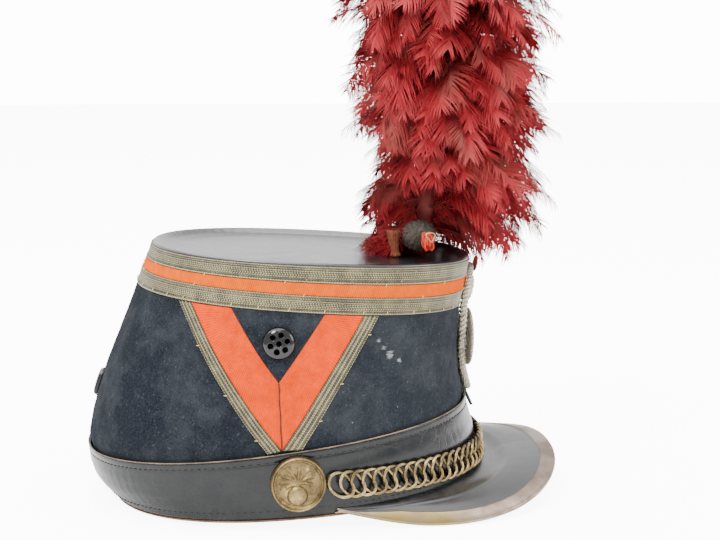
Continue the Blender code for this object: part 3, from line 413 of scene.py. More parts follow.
def start_finish(name, **sockets):
    """New material: its tree, its shader with even values set, its Object place and its pattern UV."""
    material = bpy.data.materials.new(name)
    material.use_nodes = True
    tree = material.node_tree
    shader = tree.nodes["Principled BSDF"]
    for key, value in sockets.items():
        shader.inputs[key.replace("_", " ")].default_value = value
    place = node(tree, "TexCoord").outputs["Object"]
    pattern = node(tree, "UVMap", uv_map="pattern").outputs["UV"]
    return material, tree, shader, place, pattern


def combine(tree, operation, first, second, **settings):
    """Math node on two values or sockets."""
    return node(tree, "Math", {0: first, 1: second}, operation=operation, **settings)


def noise(tree, place, scale, detail, roughness=0.5):
    """Noise texture in metres: the scale is its number of bumps in a metre."""
    return node(tree, "TexNoise", {"Vector": place, "Scale": scale, "Detail": detail, "Roughness": roughness})


def map_range(tree, source, low, high, start, end):
    """Value that runs from start to end while the source runs from low to high."""
    return node(tree, "MapRange", {0: source, 1: low, 2: high, 3: start, 4: end})


def grey_ramp(tree, source, low, high, most):
    """Mask that is nought up to low and rises to most at high."""
    return node(tree, "ValToRGB", {0: source}, stops=((low, (0, 0, 0, 1)), (high, (most, most, most, 1))))


def blend(tree, share, first, second):
    """Mix of two colours by a share."""
    return node(tree, "Mix", {0: share, 6: first, 7: second}, data_type="RGBA")


def add_bump(tree, shader, height, strength, distance):
    """Bump on the shader's normal, its depth in metres."""
    bump = node(tree, "Bump", {"Height": height, "Strength": strength, "Distance": distance})
    tree.links.new(bump.outputs[0], shader.inputs["Normal"])


def shaded(colour, share):
    """Colour with full alpha, each of its parts times a share."""
    return (*(share * c for c in colour), 1)


def wool_cloth(colour):
    """Milled wool broadcloth: short nap that hides the weave, dull blue-black, grey with dust in patches, and
    greyer toward the front.
    """
    material, tree, shader, place, _ = start_finish(
        "milled_wool_cloth", Specular_IOR_Level=0.03)
    patch = noise(tree, place, 46.0, 9.0, 0.74)
    dust = grey_ramp(tree, patch, 0.44, 0.84, 0.42)
    nap = noise(tree, place, 1100.0, 3.0, 0.7)
    grain = node(tree, "ValToRGB", {0: nap},
                 stops=((0.3, shaded(colour, 0.45)), (0.72, shaded(colour, 1.75))))
    # Greyer toward the front: the grey mix rises along the forward axis, on top of the dust patches
    ahead = node(tree, "SeparateXYZ", {0: place}).outputs[1]
    front = map_range(tree, ahead, 0.04, -0.10, 0.0, 0.16)
    more = combine(tree, "ADD", dust, front)
    greyed = blend(tree, more, grain, rgba("44474a"))
    fleck = noise(tree, place, 900.0, 2.0, 0.5)
    specks = grey_ramp(tree, fleck, 0.62, 0.84, 0.16)
    lint = blend(tree, specks, greyed, rgba("88867a"))
    scuffed = lint
    # Scuffs run down toward the front, so their noise is stretched along that line
    slant = node(tree, "Mapping", {0: place, 2: (math.radians(-40), 0, 0), 3: (1.0, 0.3, 1.3)})
    streak = noise(tree, slant, 440.0, 8.0, 0.8)
    for reach, level, size in SCUFFS:
        spot = to_row(oval(-angle_at(reach, level), level))
        far = node(tree, "VectorMath", {0: place, 1: tuple(spot)}, operation="DISTANCE").outputs["Value"]
        near = map_range(tree, far, size * MM, 0.0, 0.0, 1.0)
        rough = combine(tree, "MULTIPLY", near, streak)
        mask = grey_ramp(tree, rough, 0.38, 0.62, 0.7)
        scuffed = blend(tree, mask, scuffed, rgba("a9aaab"))
    tree.links.new(scuffed.outputs[2], shader.inputs["Base Color"])
    shader.inputs["Roughness"].default_value = 0.95
    add_bump(tree, shader, nap, 0.5, 0.0004)
    return material


def patent_leather(name, colour, worn, roughness, crack_size, shine):
    """Patent leather: black varnish on hide, glossy, crazed along old flexes and greyer where it is rubbed."""
    material, tree, shader, place, _ = start_finish(
        name, Coat_Weight=shine ** 2, Coat_Roughness=0.9 * roughness, IOR=1.5, Specular_IOR_Level=shine / 2)
    warp = noise(tree, place, 60.0, 3.0)
    bent = node(tree, "Mix", {0: 0.012, 4: place, 5: warp.outputs["Color"]}, data_type="VECTOR")
    cells = node(tree, "TexVoronoi", {"Vector": bent, "Scale": 1000.0 / crack_size},
                 feature="DISTANCE_TO_EDGE")
    line = node(tree, "ValToRGB", {0: cells}, stops=((0.0, (1, 1, 1, 1)), (0.035, (0, 0, 0, 1))))
    where = noise(tree, place, 28.0, 4.0, 0.6)
    some = grey_ramp(tree, where, 0.50, 0.64, 1)
    cracks = combine(tree, "MULTIPLY", line, some)
    rub = noise(tree, place, 90.0, 8.0, 0.7)
    rubbed = grey_ramp(tree, rub, 0.42, 0.80, 0.75)
    base = blend(tree, rubbed, (*colour, 1), rgba(worn))
    lined = blend(tree, cracks, base, rgba("1d1b18"))
    tree.links.new(lined.outputs[2], shader.inputs["Base Color"])
    gloss = map_range(tree, rub, 0.3, 0.75, roughness, roughness + 0.22)
    tree.links.new(gloss.outputs[0], shader.inputs["Roughness"])
    hide = noise(tree, place, 260.0, 4.0)
    relief = combine(tree, "SUBTRACT", hide, cracks)
    add_bump(tree, shader, relief, 0.35, 0.0003)
    return material


def sweat_leather():
    """Vegetable-tanned sheepskin: matt brown, darker with handling, with a fine pebbled grain."""
    material, tree, shader, place, _ = start_finish("tanned_sheepskin", Roughness=0.62, IOR=1.5)
    stain = noise(tree, place, 45.0, 6.0, 0.6)
    tint = node(tree, "ValToRGB", {0: stain}, stops=((0.3, rgba("3a2519")), (0.75, rgba("7d5a3c"))))
    tree.links.new(tint.outputs[0], shader.inputs["Base Color"])
    grain = node(tree, "TexVoronoi", {"Vector": place, "Scale": 1400.0})
    add_bump(tree, shader, grain, 0.3, 0.0003)
    return material


def metal_lace(name, light, dark, thread):
    """Tarnished silver lace: flat metal strip over silk, dull olive with gilt flecks, with a painted highlight
    on the raised cords and painted shade in each groove, both read from the tone.
    """
    material, tree, shader, place, pattern = start_finish(name, Metallic=0.35, Roughness=0.5)
    apart = node(tree, "SeparateXYZ", {0: pattern})
    # Twill threads really 0.5 mm apart, drawn 1.3 mm apart so that they show
    turns = combine(tree, "MULTIPLY", apart.outputs[1], math.pi / 1.9)
    bands = node(tree, "Math", {0: turns}, operation="SINE")
    zig = combine(tree, "MULTIPLY", bands, 0.62)
    lean = combine(tree, "ADD", apart.outputs[0], zig)
    weft = node(tree, "CombineXYZ", {0: lean, 1: apart.outputs[1]})
    twill = node(tree, "TexWave", {"Vector": weft, "Scale": WAVE / thread, "Distortion": 0.6, "Detail": 1.0,
                                   "Detail Scale": 2.0}, wave_profile="SIN")
    warp = node(tree, "TexWave", {"Vector": pattern, "Scale": WAVE / 0.9},
                wave_profile="SIN", bands_direction="Y")
    cloth = combine(tree, "POWER", combine(tree, "MULTIPLY", twill, warp), 0.55)
    tone = node(tree, "Attribute", attribute_name="tone").outputs["Fac"]
    # Painted shade: the weave is darkened where the tone falls in a groove
    weave = combine(tree, "MULTIPLY", cloth, map_range(tree, tone, 0.0, 0.5, 0.25, 1.0))
    age = noise(tree, place, 120.0, 6.0, 0.7)
    mixed = combine(tree, "ADD", weave, map_range(tree, age, 0.3, 0.7, -0.25, 0.25))
    tint = node(tree, "ValToRGB", {0: mixed},
                stops=((0.1, rgba(dark)), (0.9, rgba(light)), (0.55, rgba("5e583c"))))
    gilt = noise(tree, place, 900.0, 2.0)
    fleck = grey_ramp(tree, gilt, 0.66, 0.72, 0.7)
    gilded = blend(tree, fleck, tint, rgba("8f7d3c"))
    # Painted highlight: where the tone rises on a raised cord, the colour is blended toward pale metal
    raised = map_range(tree, tone, 0.55, 0.95, 0.0, 0.6)
    lace_painted_highlight = blend(tree, raised, gilded, rgba("a89f80"))
    tree.links.new(lace_painted_highlight.outputs[2], shader.inputs["Base Color"])
    add_bump(tree, shader, weave, 0.6, 0.0004)
    return material


def wool_braid(name, colour):
    """Ribbed worsted braid: matt orange, a little soiled, each rib painted lighter on its crest and darker in
    its trough, as painted highlight and painted shade.
    """
    material, tree, shader, place, pattern = start_finish(
        name, Roughness=0.95, Specular_IOR_Level=0.02)
    # Ribs really 0.6 mm apart, drawn 1.0 mm apart so that they show
    ribs = node(tree, "TexWave", {"Vector": pattern, "Scale": WAVE, "Distortion": 0.4}, wave_profile="SIN")
    soil = noise(tree, place, 160.0, 7.0, 0.7)
    # Painted light: the rib wave lightens each crest and darkens each trough; the soil noise is real soiling
    both = combine(tree, "ADD", combine(tree, "MULTIPLY", ribs, 0.25), soil)
    tint = node(tree, "ValToRGB", {0: both},
                stops=((0.30, shaded(colour, 0.6)), (0.85, shaded(colour, 1.15))))
    tree.links.new(tint.outputs[0], shader.inputs["Base Color"])
    add_bump(tree, shader, ribs, 0.5, 0.0003)
    return material


def aged_brass(name, clean, patina, dark, cover, roughness):
    """Unpolished brass: brown oxide film in patches, brighter where it is handled, black in the hollows."""
    material, tree, shader, place, _ = start_finish(name, Metallic=1.0)
    film = noise(tree, place, 110.0, 8.0, 0.68)
    stops = ((cover - 0.16, rgba(clean)), (cover + 0.2, rgba(dark)), (cover, rgba(patina)))
    tint = node(tree, "ValToRGB", {0: film}, stops=stops)
    pores = noise(tree, place, 1600.0, 3.0)
    pits = node(tree, "ValToRGB", {0: pores}, stops=((0.28, (0.25, 0.25, 0.25, 1)), (0.42, (1, 1, 1, 1))))
    pitted = node(tree, "Mix", {0: 1.0, 6: tint, 7: pits}, data_type="RGBA", blend_type="MULTIPLY")
    tree.links.new(pitted.outputs[2], shader.inputs["Base Color"])
    gloss = map_range(tree, film, 0.3, 0.7, roughness - 0.1, roughness + 0.18)
    tree.links.new(gloss.outputs[0], shader.inputs["Roughness"])
    add_bump(tree, shader, pores, 0.25, 0.0002)
    return material


def binding_brass():
    """Rolled brass strip: rosy brown tarnish, bare yellow metal where the hand takes it at its right end."""
    material, tree, shader, place, _ = start_finish("rolled_brass_strip", Metallic=1.0)
    film = noise(tree, place, 70.0, 7.0, 0.6)
    tint = node(tree, "ValToRGB", {0: film}, stops=((0.34, rgba("a29385")), (0.62, rgba("7c6a5d"))))
    end = to_row(from_rest(58.0, -PEAK["half_width"], 3.0))
    far = node(tree, "VectorMath", {0: place, 1: tuple(end)}, operation="DISTANCE").outputs["Value"]
    near = map_range(tree, far, 0.036, 0.012, 0.0, 1.0)
    ragged = combine(tree, "MULTIPLY", near, map_range(tree, film, 0.35, 0.65, 1.3, 0.5), use_clamp=True)
    bare = blend(tree, ragged, tint, rgba("93804f"))
    tree.links.new(bare.outputs[2], shader.inputs["Base Color"])
    gloss = map_range(tree, film, 0.3, 0.7, 0.24, 0.46)
    tree.links.new(gloss.outputs[0], shader.inputs["Roughness"])
    return material


def black_enamel():
    """Stove enamel on brass: hard black gloss with a little dust; inside the wells the reflection is switched
    off, painted shade that makes them read as black open holes.
    """
    material, tree, shader, place, _ = start_finish("stoved_black_enamel", IOR=1.5)
    dust = noise(tree, place, 500.0, 5.0)
    tint = node(tree, "ValToRGB", {0: dust}, stops=((0.5, rgba("030304")), (0.9, rgba("141415"))))
    tree.links.new(tint.outputs[0], shader.inputs["Base Color"])
    gloss = map_range(tree, dust, 0.4, 0.8, 0.05, 0.11)
    hole = node(tree, "Attribute", attribute_name="tone").outputs["Fac"]
    dull = combine(tree, "ADD", gloss, hole, use_clamp=True)
    tree.links.new(dull.outputs[0], shader.inputs["Roughness"])
    # Painted shade: no reflection inside the holes, so that they read black
    hole_painted_shade = node(tree, "MapRange", {0: hole, 3: 0.45, 4: 0.0})
    tree.links.new(hole_painted_shade.outputs[0], shader.inputs["Specular IOR Level"])
    return material


def silver_cord():
    """Plaited silver cord gone grey, with brown dirt in patches; each strand is painted bright on its crest and
    dark between strands, as painted highlight and painted shade.
    """
    material, tree, shader, place, pattern = start_finish("plaited_silver_cord", Metallic=0.3, Roughness=0.55)
    # Wound strip really 0.3 mm wide, drawn 0.8 mm wide so that it shows
    strip = node(tree, "TexWave", {"Vector": pattern, "Scale": WAVE / 0.8, "Distortion": 0.5},
                 wave_profile="SIN", bands_direction="DIAGONAL")
    dirt = noise(tree, place, 300.0, 5.0, 0.7)
    # The strip wave paints a highlight on each strand's crest and shade between strands; the dirt noise is real
    # soiling
    both = combine(tree, "ADD", combine(tree, "MULTIPLY", strip, 0.4), dirt)
    tint = node(tree, "ValToRGB", {0: both}, stops=((0.35, rgba("554d3f")), (0.92, rgba("cdc3ae"))))
    tree.links.new(tint.outputs[0], shader.inputs["Base Color"])
    add_bump(tree, shader, strip, 0.5, 0.0003)
    return material


def plain_finish(name, light, dark, scale, roughness, metallic=0.0):
    """Even material with a mottled tint and a fine surface: verdigris, wool, waxed thread or wire."""
    material, tree, shader, place, _ = start_finish(name, Metallic=metallic, Roughness=roughness)
    mottle = noise(tree, place, scale, 8.0, 0.7)
    tint = node(tree, "ValToRGB", {0: mottle}, stops=((0.32, rgba(dark)), (0.70, rgba(light))))
    tree.links.new(tint.outputs[0], shader.inputs["Base Color"])
    add_bump(tree, shader, mottle, 0.5, 0.0005)
    return material


def dyed_feather(colour):
    """Dyed cock feather: silky scarlet barbs, maroon toward the quill, paler and pinker at worn tips."""
    material, tree, shader, place, _ = start_finish(
        "dyed_cock_feather", Roughness=0.6, Specular_IOR_Level=0.08)
    tone = node(tree, "Attribute", attribute_name="tone").outputs["Fac"]
    uneven = noise(tree, place, 55.0, 4.0)
    shift = map_range(tree, uneven, 0.3, 0.7, -0.10, 0.10)
    both = combine(tree, "ADD", tone, shift)
    deep, pale = shaded(colour, 0.16), (*(min(1.35 * c + 0.022, 1) for c in colour), 1)
    tint = node(tree, "ValToRGB", {0: both}, stops=((0.0, deep), (1.0, pale), (0.5, (*colour, 1))))
    patch = node(tree, "TexNoise", {"Vector": place, "Scale": 42.0, "Detail": 2.0, "W": 3.0},
                 noise_dimensions="4D")
    browned = grey_ramp(tree, patch, 0.50, 0.68, 0.5)
    aged = blend(tree, browned, tint, rgba("74423a"))
    tree.links.new(aged.outputs[2], shader.inputs["Base Color"])
    return material


# Crown pieces

def crown_cloth_shape():
    """Outer skin from the braid down behind the band to the hem, then the inner skin back up.
    The skin is the crown surface, plus sine ripples of a quarter millimetre."""
    angles = ring_angles(300)[None, :]
    skirt = skirt_level(0.3)
    outer = np.concatenate([np.linspace(skirt, CLOTH_START, 44), [2.2, BAND_TOP, 1.3, 0.6, 0.05]])[:, None]
    outs = np.interp(outer, [BAND_TOP, CLOTH_START], [CLOTH_BEHIND_BAND, 0.0])
    dents = 0.25 * ripple(angles, outer * 2.2, 3) * np.clip((outer - CLOTH_START) * 2, 0, 1)
    skin = wall_point(angles, outer, outs + dents)
    lining_levels = np.linspace(0.05, skirt, 14)[:, None]
    lining_outs = np.interp(lining_levels, [BAND_TOP, CLOTH_START], [CLOTH_BEHIND_BAND, 0.0]) - CLOTH_WALL
    lining = wall_point(angles, lining_levels, lining_outs)
    return surface(np.concatenate([skin, lining]), wrap_rows=True, wrap_columns=True)


def crown_top_shape():
    """Sunken disc in rings from its middle out: flat, then a rolled rim, a short skirt and the underside.
    The leather sags by sine ripples, with small puckers where it is drawn over the rim."""
    angles = ring_angles(300)[None, :]
    edge = oval(angles[0], TOP)
    middle = edge.mean(axis=0)
    reach = np.linalg.norm((edge - middle)[:, :2], axis=1)
    inset = np.array([60, 46, 34, 26, 20, 15, 11.5, 9, 7, 5.6, 4.5, 3.6, 2.9, 2.3, 1.7, 1.1, 0.55,
                      0.15, 0.0, 0.0])
    rise = np.array([-1, -1, -1, -1, -1, -1, -0.98, -0.93, -0.82, -0.6, -0.3, 0, 0.22, 0.33, 0.38, 0.36, 0.28,
                     0.12, -0.05, -0.21])
    under_inset = np.array([2.9, 2.9, 9.0, 60.0])
    under_rise = np.array([0.02, -1.4, -1.66, -1.66])
    insets = np.concatenate([inset, under_inset])[:, None]
    rises = np.concatenate([rise, under_rise])[:, None] * TOP_DEPTH
    share = 1 - insets / reach[None, :]
    sag = 0.5 * ripple(angles, share * 5, 8) * np.clip(insets / 20, 0, 1)
    pucker = 0.10 * np.sin(74 * angles + 3 * np.sin(5 * angles)) * np.exp(-((insets - 3.4) / 2.2) ** 2)
    points = middle + (edge - middle)[None] * share[..., None]
    points[..., 2] += rises + sag + pucker
    return surface(points, wrap_columns=True, poles=(True, True))


def sweatband_shape():
    """Ring profile: foot turned out under the band, then up inside the cap, with a rounded upper edge."""
    angles = ring_angles(300)
    profile = np.array([(0.0, -0.45), (-0.1, -0.1), (0.1, 0.2), (4.4, 0.2), (4.45, 3.0), (4.45, 14.0),
                        (4.45, 25.4), (4.75, 26.0), (5.3, 26.0), (5.65, 25.4), (5.65, 14.0), (5.65, 3.0),
                        (5.65, -0.4),
                        (5.4, -0.7), (0.3, -0.7)])
    height = np.maximum(profile[:, 1:], 0.0) + 0 * angles
    level = level_at(angles[None, :], height)
    point, normal, _, _ = wall_frame(angles[None, :], level)
    plan = normal * [1, 1, 0]
    plan = plan / np.sum(plan ** 2, axis=-1, keepdims=True)
    points = point - plan * profile[:, :1, None]
    points[..., 2] += np.minimum(profile[:, 1:], 0.0)
    return surface(points, wrap_rows=True, wrap_columns=True)


def band_shape():
    """Band profile carried round: inner face, folded welt at the top, stitched groove, outer face, turned hem.
    The outer face is rippled by half a millimetre, as old leather is."""
    angles = ring_angles(360)[None, :]
    inner = [(level, -1.4) for level in (0.06, 0.6, 1.3, 1.9)]
    welt = [(2.02, -1.2), (2.045, -0.6), (2.05, -0.1), (2.03, 0.25), (1.99, 0.38), (1.93, 0.34), (1.87, 0.2),
            (1.85, 0.08), (1.83, -0.06), (1.81, -0.08), (1.78, 0.0)]
    face = [(level, 0.0) for level in np.linspace(1.72, 0.20, 22)]
    hem = [(0.14, 0.05), (0.09, 0.0), (0.055, -0.25), (0.045, -0.8)]
    profile = np.array(inner + welt + face + hem)
    level, out = profile[:, :1], profile[:, 1:]
    soft = np.clip((1.75 - level) * 4, 0, 1) * np.clip(out * 4 + 1, 0, 1)
    creases = np.sin(90 * angles + 9 * np.sin(3 * angles)) * np.clip(np.sin(7 * angles), 0, 1)
    wave = 0.28 * ripple(angles, level * 2, 5) + 0.10 * creases
    return surface(wall_point(angles, level, out + soft * wave * 0.7), wrap_rows=True, wrap_columns=True)


# Ring lace, over its width: where its raised cords run and how high they stand in mm, and where the dark lines
# between them fall, painted shade in each groove
LACE_CORDS = ((0.05, 0.26), (0.70, 0.16), (0.83, 0.22), (0.955, 0.28))
LACE_GROOVE_SHADE = (0.17, 0.765, 0.895)
LACE_ROWS = (0, 0.02, 0.05, 0.08, 0.11, 0.14, 0.17, 0.20, 0.23, 0.28, 0.38, 0.5, 0.60, 0.66, 0.70,
             0.735, 0.765, 0.795, 0.83, 0.865, 0.895, 0.925, 0.955, 0.98, 1)
STRIPE_ROWS = (0, 0.02, 0.08, 0.25, 0.5, 0.75, 0.92, 0.98, 1)


def ring_lace(t, u):
    """Height and tone of the ring lace at a share t of its width: one bell curve for each cord and groove; the
    tone is a painted highlight on each cord and painted shade in each groove.
    """
    cords = sum(height * np.exp(-((t - place) / 0.040) ** 2) for place, height in LACE_CORDS)
    # Painted light: the tone rises on each raised cord as a painted highlight and falls in each groove as
    # painted shade
    groove_shade = sum(np.exp(-((t - place) / 0.034) ** 2) for place in LACE_GROOVE_SHADE)
    return 0.5 + cords + 0 * u, 0.5 + 1.3 * cords - 0.6 * groove_shade + 0 * u


def edge_lace(t, u):
    """Height and tone of the narrow chevron lace: three and a half cosine ridges across its width, the tone
    painted lighter on each crest and darker in each trough, as painted highlight and painted shade.
    """
    ridge = np.cos(2 * math.pi * 3.5 * t + 0.4)
    # The tone follows the ridge: painted highlight on its crests, painted shade in its troughs
    return 0.55 + 0.16 * ridge + 0 * u, 0.43 + 0.36 * ridge + 0 * u


def braid_relief(t, u):
    """Height and tone of ribbed braid: a sine rib along its run, falling off at both edges."""
    fall = 0.25 * np.exp(-t / 0.04) + 0.25 * np.exp((t - 1) / 0.04)
    return 0.55 + 0.09 * np.sin(2 * math.pi * u / 1.2) - fall, 0.5 + 0 * t * u


def flat_braid(t, u):
    """Height and tone of the ring's stripe: level, falling off at both edges; its ribs are in its finish."""
    fall = 0.25 * np.exp(-t / 0.04) + 0.25 * np.exp((t - 1) / 0.04)
    return 0.55 - fall + 0 * u, 0.5 + 0 * t * u


def galon_shape(name):
    """Ring of lace or braid: a slab on the crown between two levels, its top face raised by its relief."""
    low, high = GALON[name]
    skirt = skirt_level()
    stripe = name == "galon_stripe"
    t = np.array(STRIPE_ROWS if stripe else LACE_ROWS, float)[:, None]
    levels = GALON_LOW + (skirt - GALON_LOW) * (low + (high - low) * t)
    angles = ring_angles(640)[None, :]
    flat = wall_point(angles, levels, 0.0)
    u = run_length(flat, 1)
    height, tone = (flat_braid if stripe else ring_lace)(t, u[None, :-1])
    rise = height * np.clip(np.minimum(t, 1 - t) * 40, 0, 1) ** 0.5 + 0.12 * ripple(angles, t * 2, 12)
    outer = wall_point(angles, levels, np.maximum(rise, 0.1))
    v = t[:, 0] * np.linalg.norm(flat[-1, 0] - flat[0, 0])
    made = shell(outer, wall_point(angles, levels[[0, -1]], -0.15), wrap=True, u=u, v=v)
    made.tone[:tone.size] = np.clip(tone, 0, 1).ravel()
    return made


def arm_shape(corners, side, relief, across, along):
    """Strip of lace or braid between four corners on the crown: outer and inner head, inner and outer foot."""
    head_a, head_b, foot_b, foot_a = (np.array(c) for c in corners)
    t = np.concatenate([[0.0], np.linspace(0.03, 0.97, across), [1.0]])[:, None, None]
    s = np.linspace(0, 1, along)[None, :, None]
    head, foot = head_a + (head_b - head_a) * t, foot_a + (foot_b - foot_a) * t
    flat = head + (foot - head) * s
    angle, level = angle_at(flat[..., 0], flat[..., 1]) * side, flat[..., 1]
    ground = wall_point(angle, level)
    u = run_length(ground, 1)
    v = np.append(0, np.cumsum(np.linalg.norm(np.diff(ground[:, 0], axis=0), axis=1)))
    edge = np.clip(np.minimum(t, 1 - t) * 30, 0, 1)[..., 0] ** 0.5
    ends = np.clip(np.minimum(s, 1 - s) * 120, 0, 1)[..., 0] ** 0.5
    height, tone = relief(t[..., 0], u[None, :along])
    outer = wall_point(angle, level, np.maximum(height * edge * ends, 0.08))
    made = shell(outer, wall_point(angle, level, -0.15), u=u, v=v)
    made.tone[:tone.size] = np.clip(tone, 0, 1).ravel()
    return made


def chevron_shapes(side):
    """Orange V of two arms that meet on a seam, and the lace along its two outer edges."""
    c = CHEVRON
    front = arm_shape((c["front_outer"], c["front_inner"], c["notch"], c["tip"]), side, braid_relief, 10, 200)
    rear = arm_shape((c["rear_outer"], c["rear_inner"], c["notch"], c["tip"]), side, braid_relief, 10, 200)
    laces = []
    for way in ("front", "rear"):
        corners = (c[way + "_edge"], c[way + "_outer"], c["tip"], c[way + "_foot"])
        laces.append(arm_shape(corners, side, edge_lace, 22, 110))
    return joined([front, rear]), *laces


def seam_shape(side):
    """Thread laid along the seam where the chevron's arms meet, wandering by a quarter millimetre."""
    s = np.linspace(0, 1, 90)
    reach = CHEVRON["notch"][0] + (CHEVRON["tip"][0] - CHEVRON["notch"][0]) * s + 0.25 * np.sin(17 * s)
    level = CHEVRON["notch"][1] + (CHEVRON["tip"][1] - CHEVRON["notch"][1]) * s
    point, normal, _, _ = wall_frame(angle_at(reach, level) * side, level)
    return tubes((point + normal * 0.52)[None], normal[None], 0.3, 6)


def edge_stitches(side, ends, count, seed):
    """Tacking stitches across a straight edge of the chevron, at uneven places."""
    rng = np.random.default_rng(seed)
    s = (np.arange(count) + 0.5 + rng.uniform(-0.25, 0.25, count)) / count
    (reach_a, level_a), (reach_b, level_b) = ends
    reach, level = reach_a + (reach_b - reach_a) * s, level_a + (level_b - level_a) * s
    return stitch_shapes(angle_at(reach, level) * side, level, 0.7, 1.7, 0.2)


def raw_edge_shape():
    """Cut upper edge of the band: a thin ring laid on its top fold."""
    angles = ring_angles(360)
    point, normal, _, _ = wall_frame(angles, np.full(360, 2.05))
    return tubes((point + normal * 0.32)[None], normal[None], 0.32, 6, closed=True)


def stitch_shapes(angles, levels, out, length, radius, lean=0.0):
    """Short thread loops on the crown: each runs along the level for its length and arches off the surface."""
    point, normal, around, up = wall_frame(angles, levels)
    t = np.linspace(-1, 1, 6)[None, :, None]
    along = unit(around * math.cos(lean) + up * math.sin(lean))
    arch = (1 - t ** 2) ** 0.5 * radius * 1.6
    paths = point[:, None] + along[:, None] * t * length / 2 + normal[:, None] * (out + arch - radius * 0.6)
    normals = np.broadcast_to(normal[:, None], paths.shape)
    return tubes(paths, normals, radius * np.array([0.6, 1, 1, 1, 1, 0.6])[None], 5)


# Peak

def peak_lines(count):
    """Root and rim of the peak from its left end to its right end, in equal shares of their lengths."""
    p = PEAK
    turn = np.linspace(0, math.pi / 2, 200)
    reach = p["widest"] + (p["tip"] - p["widest"]) * np.cos(turn) ** (2 / p["square"])
    side = p["half_width"] * np.sin(turn) ** (2 / p["square"])
    low = p["edge_rise"]
    rise = low + (p["tip_rise"] - low) * (1 - (side / p["half_width"]) ** 2)
    end_angle = float(angle_at(p["end"], 0.0))
    end_side = float(oval(end_angle, 0.0)[0]) + 0.9
    back = np.linspace(0, 1, 80)[1:]
    reach = np.append(reach, p["widest"] + (p["end"] - p["widest"]) * back)
    side = np.append(side, p["half_width"] + (end_side - p["half_width"]) * back ** 2)
    rise = np.append(rise, low + (p["end_rise"] - low) * back ** 1.6)
    half = from_rest(reach, side, rise)
    angles = np.linspace(0, end_angle, 240)
    root = wall_point(angles, level_at(angles, p["root"]), 0.3)
    shares = np.linspace(0, 1, count + 1)
    lines = []
    for line in (root, half):
        steps = np.append(0, np.cumsum(np.linalg.norm(np.diff(line, axis=0), axis=1)))
        near = np.stack([np.interp(shares * steps[-1], steps, line[:, i]) for i in range(3)], axis=1)
        lines.append(np.concatenate([near[:0:-1] * [-1, 1, 1], near]))
    return lines


def peak_surface(root, rim, inset):
    """Top face of the peak at a distance in from its rim: straight from root to rim, domed at the sides,
    with a soft trough near the root."""
    run = np.linalg.norm(rim - root, axis=1)[:, None]
    part = 1 - inset / run
    sides = np.abs(rim[:, :1]) / PEAK["half_width"]
    dome = PEAK["dome"] * 4 * np.clip(part * (1 - part), 0, 1) * np.clip(run / 18 - 0.3, 0, 1) * sides
    crease = PEAK["crease"] * np.exp(-((part - 0.22) / 0.13) ** 2) * (1 - sides ** 2)
    points = root[:, None] + (rim - root)[:, None] * part[..., None]
    points[..., 2] += dome - crease
    return points


def peak_shapes():
    """Leather as a closed strip of loops across the peak, and the brass folded round its rim."""
    root, rim = peak_lines(110)
    run = np.linalg.norm(rim - root, axis=1)[:, None]
    normal = unit(np.cross(np.gradient(rim, axis=0), rim - peak_surface(root, rim, 0.2 * run)[:, 0]))
    normal *= np.sign(normal[:, 2:])
    share = np.linspace(1, 0, 34)[None, :]
    edge = 0.9
    upper = peak_surface(root, rim, edge + (run - edge) * share)
    down = unit(normal[:, None] * (1 - share[..., None]) + np.array([0, 0, 1.0]) * share[..., None])
    ends = np.linspace(0, 1, len(rim))[:, None]
    wave = 0.18 * ripple(ends * 6, share * 4, 21)
    ridge = 0.55 * np.exp(-((share - 0.62) / 0.018) ** 2) * np.clip(run / 14 - 1, 0, 1)
    upper = upper + down * (wave * 0.6 + ridge)[..., None]
    lower = upper - down * PEAK["wall"]
    leather = shell(upper.transpose(1, 0, 2)[:, 1:-1], lower.transpose(1, 0, 2)[:, 1:-1])

    width = np.minimum(PEAK["binding"] * np.clip((1 - np.abs(2 * ends - 1)) / 0.2, 0.12, 1), 0.86 * run)
    under = width * PEAK["under"] / PEAK["binding"]
    turn = np.linspace(math.pi / 2, -math.pi / 2, 9)[None, :]
    top = 0.55
    half = (PEAK["wall"] + 2 * top) / 2
    fold_inset = 1.1 - 1.25 * np.cos(turn) + 0 * width
    fold_rise = (top - half) + half * np.sin(turn) + 0 * width
    spread = np.array([1.0, 0.99, 0.9, 0.6, 0.3])[None, :]
    over_inset = 1.1 + (width - 1.1) * spread
    over_rise = np.array([0.02, top * 0.9, top, top, top])[None, :] + 0 * width
    below_inset = 1.1 + (under - 1.1) * np.array([0.4, 0.98, 1.0])[None, :]
    below_rise = top - 2 * half + np.array([0.0, 0.0, 0.45])[None, :] + 0 * width
    insets = np.concatenate([over_inset, fold_inset, below_inset], axis=1)
    rises = np.concatenate([over_rise, fold_rise, below_rise], axis=1)
    dent = 0.25 * ripple(ends * 9, insets / 9, 31)
    points = peak_surface(root, rim, insets) + normal[:, None] * (rises + dent)[..., None]
    inner_rises = (rises + half - top) * 0.6 + top - half + dent
    inner = peak_surface(root, rim, insets * 0.985 + 0.35) + normal[:, None] * inner_rises[..., None]
    brass = shell(points.transpose(1, 0, 2), inner.transpose(1, 0, 2))
    return leather, brass


# Metal pieces

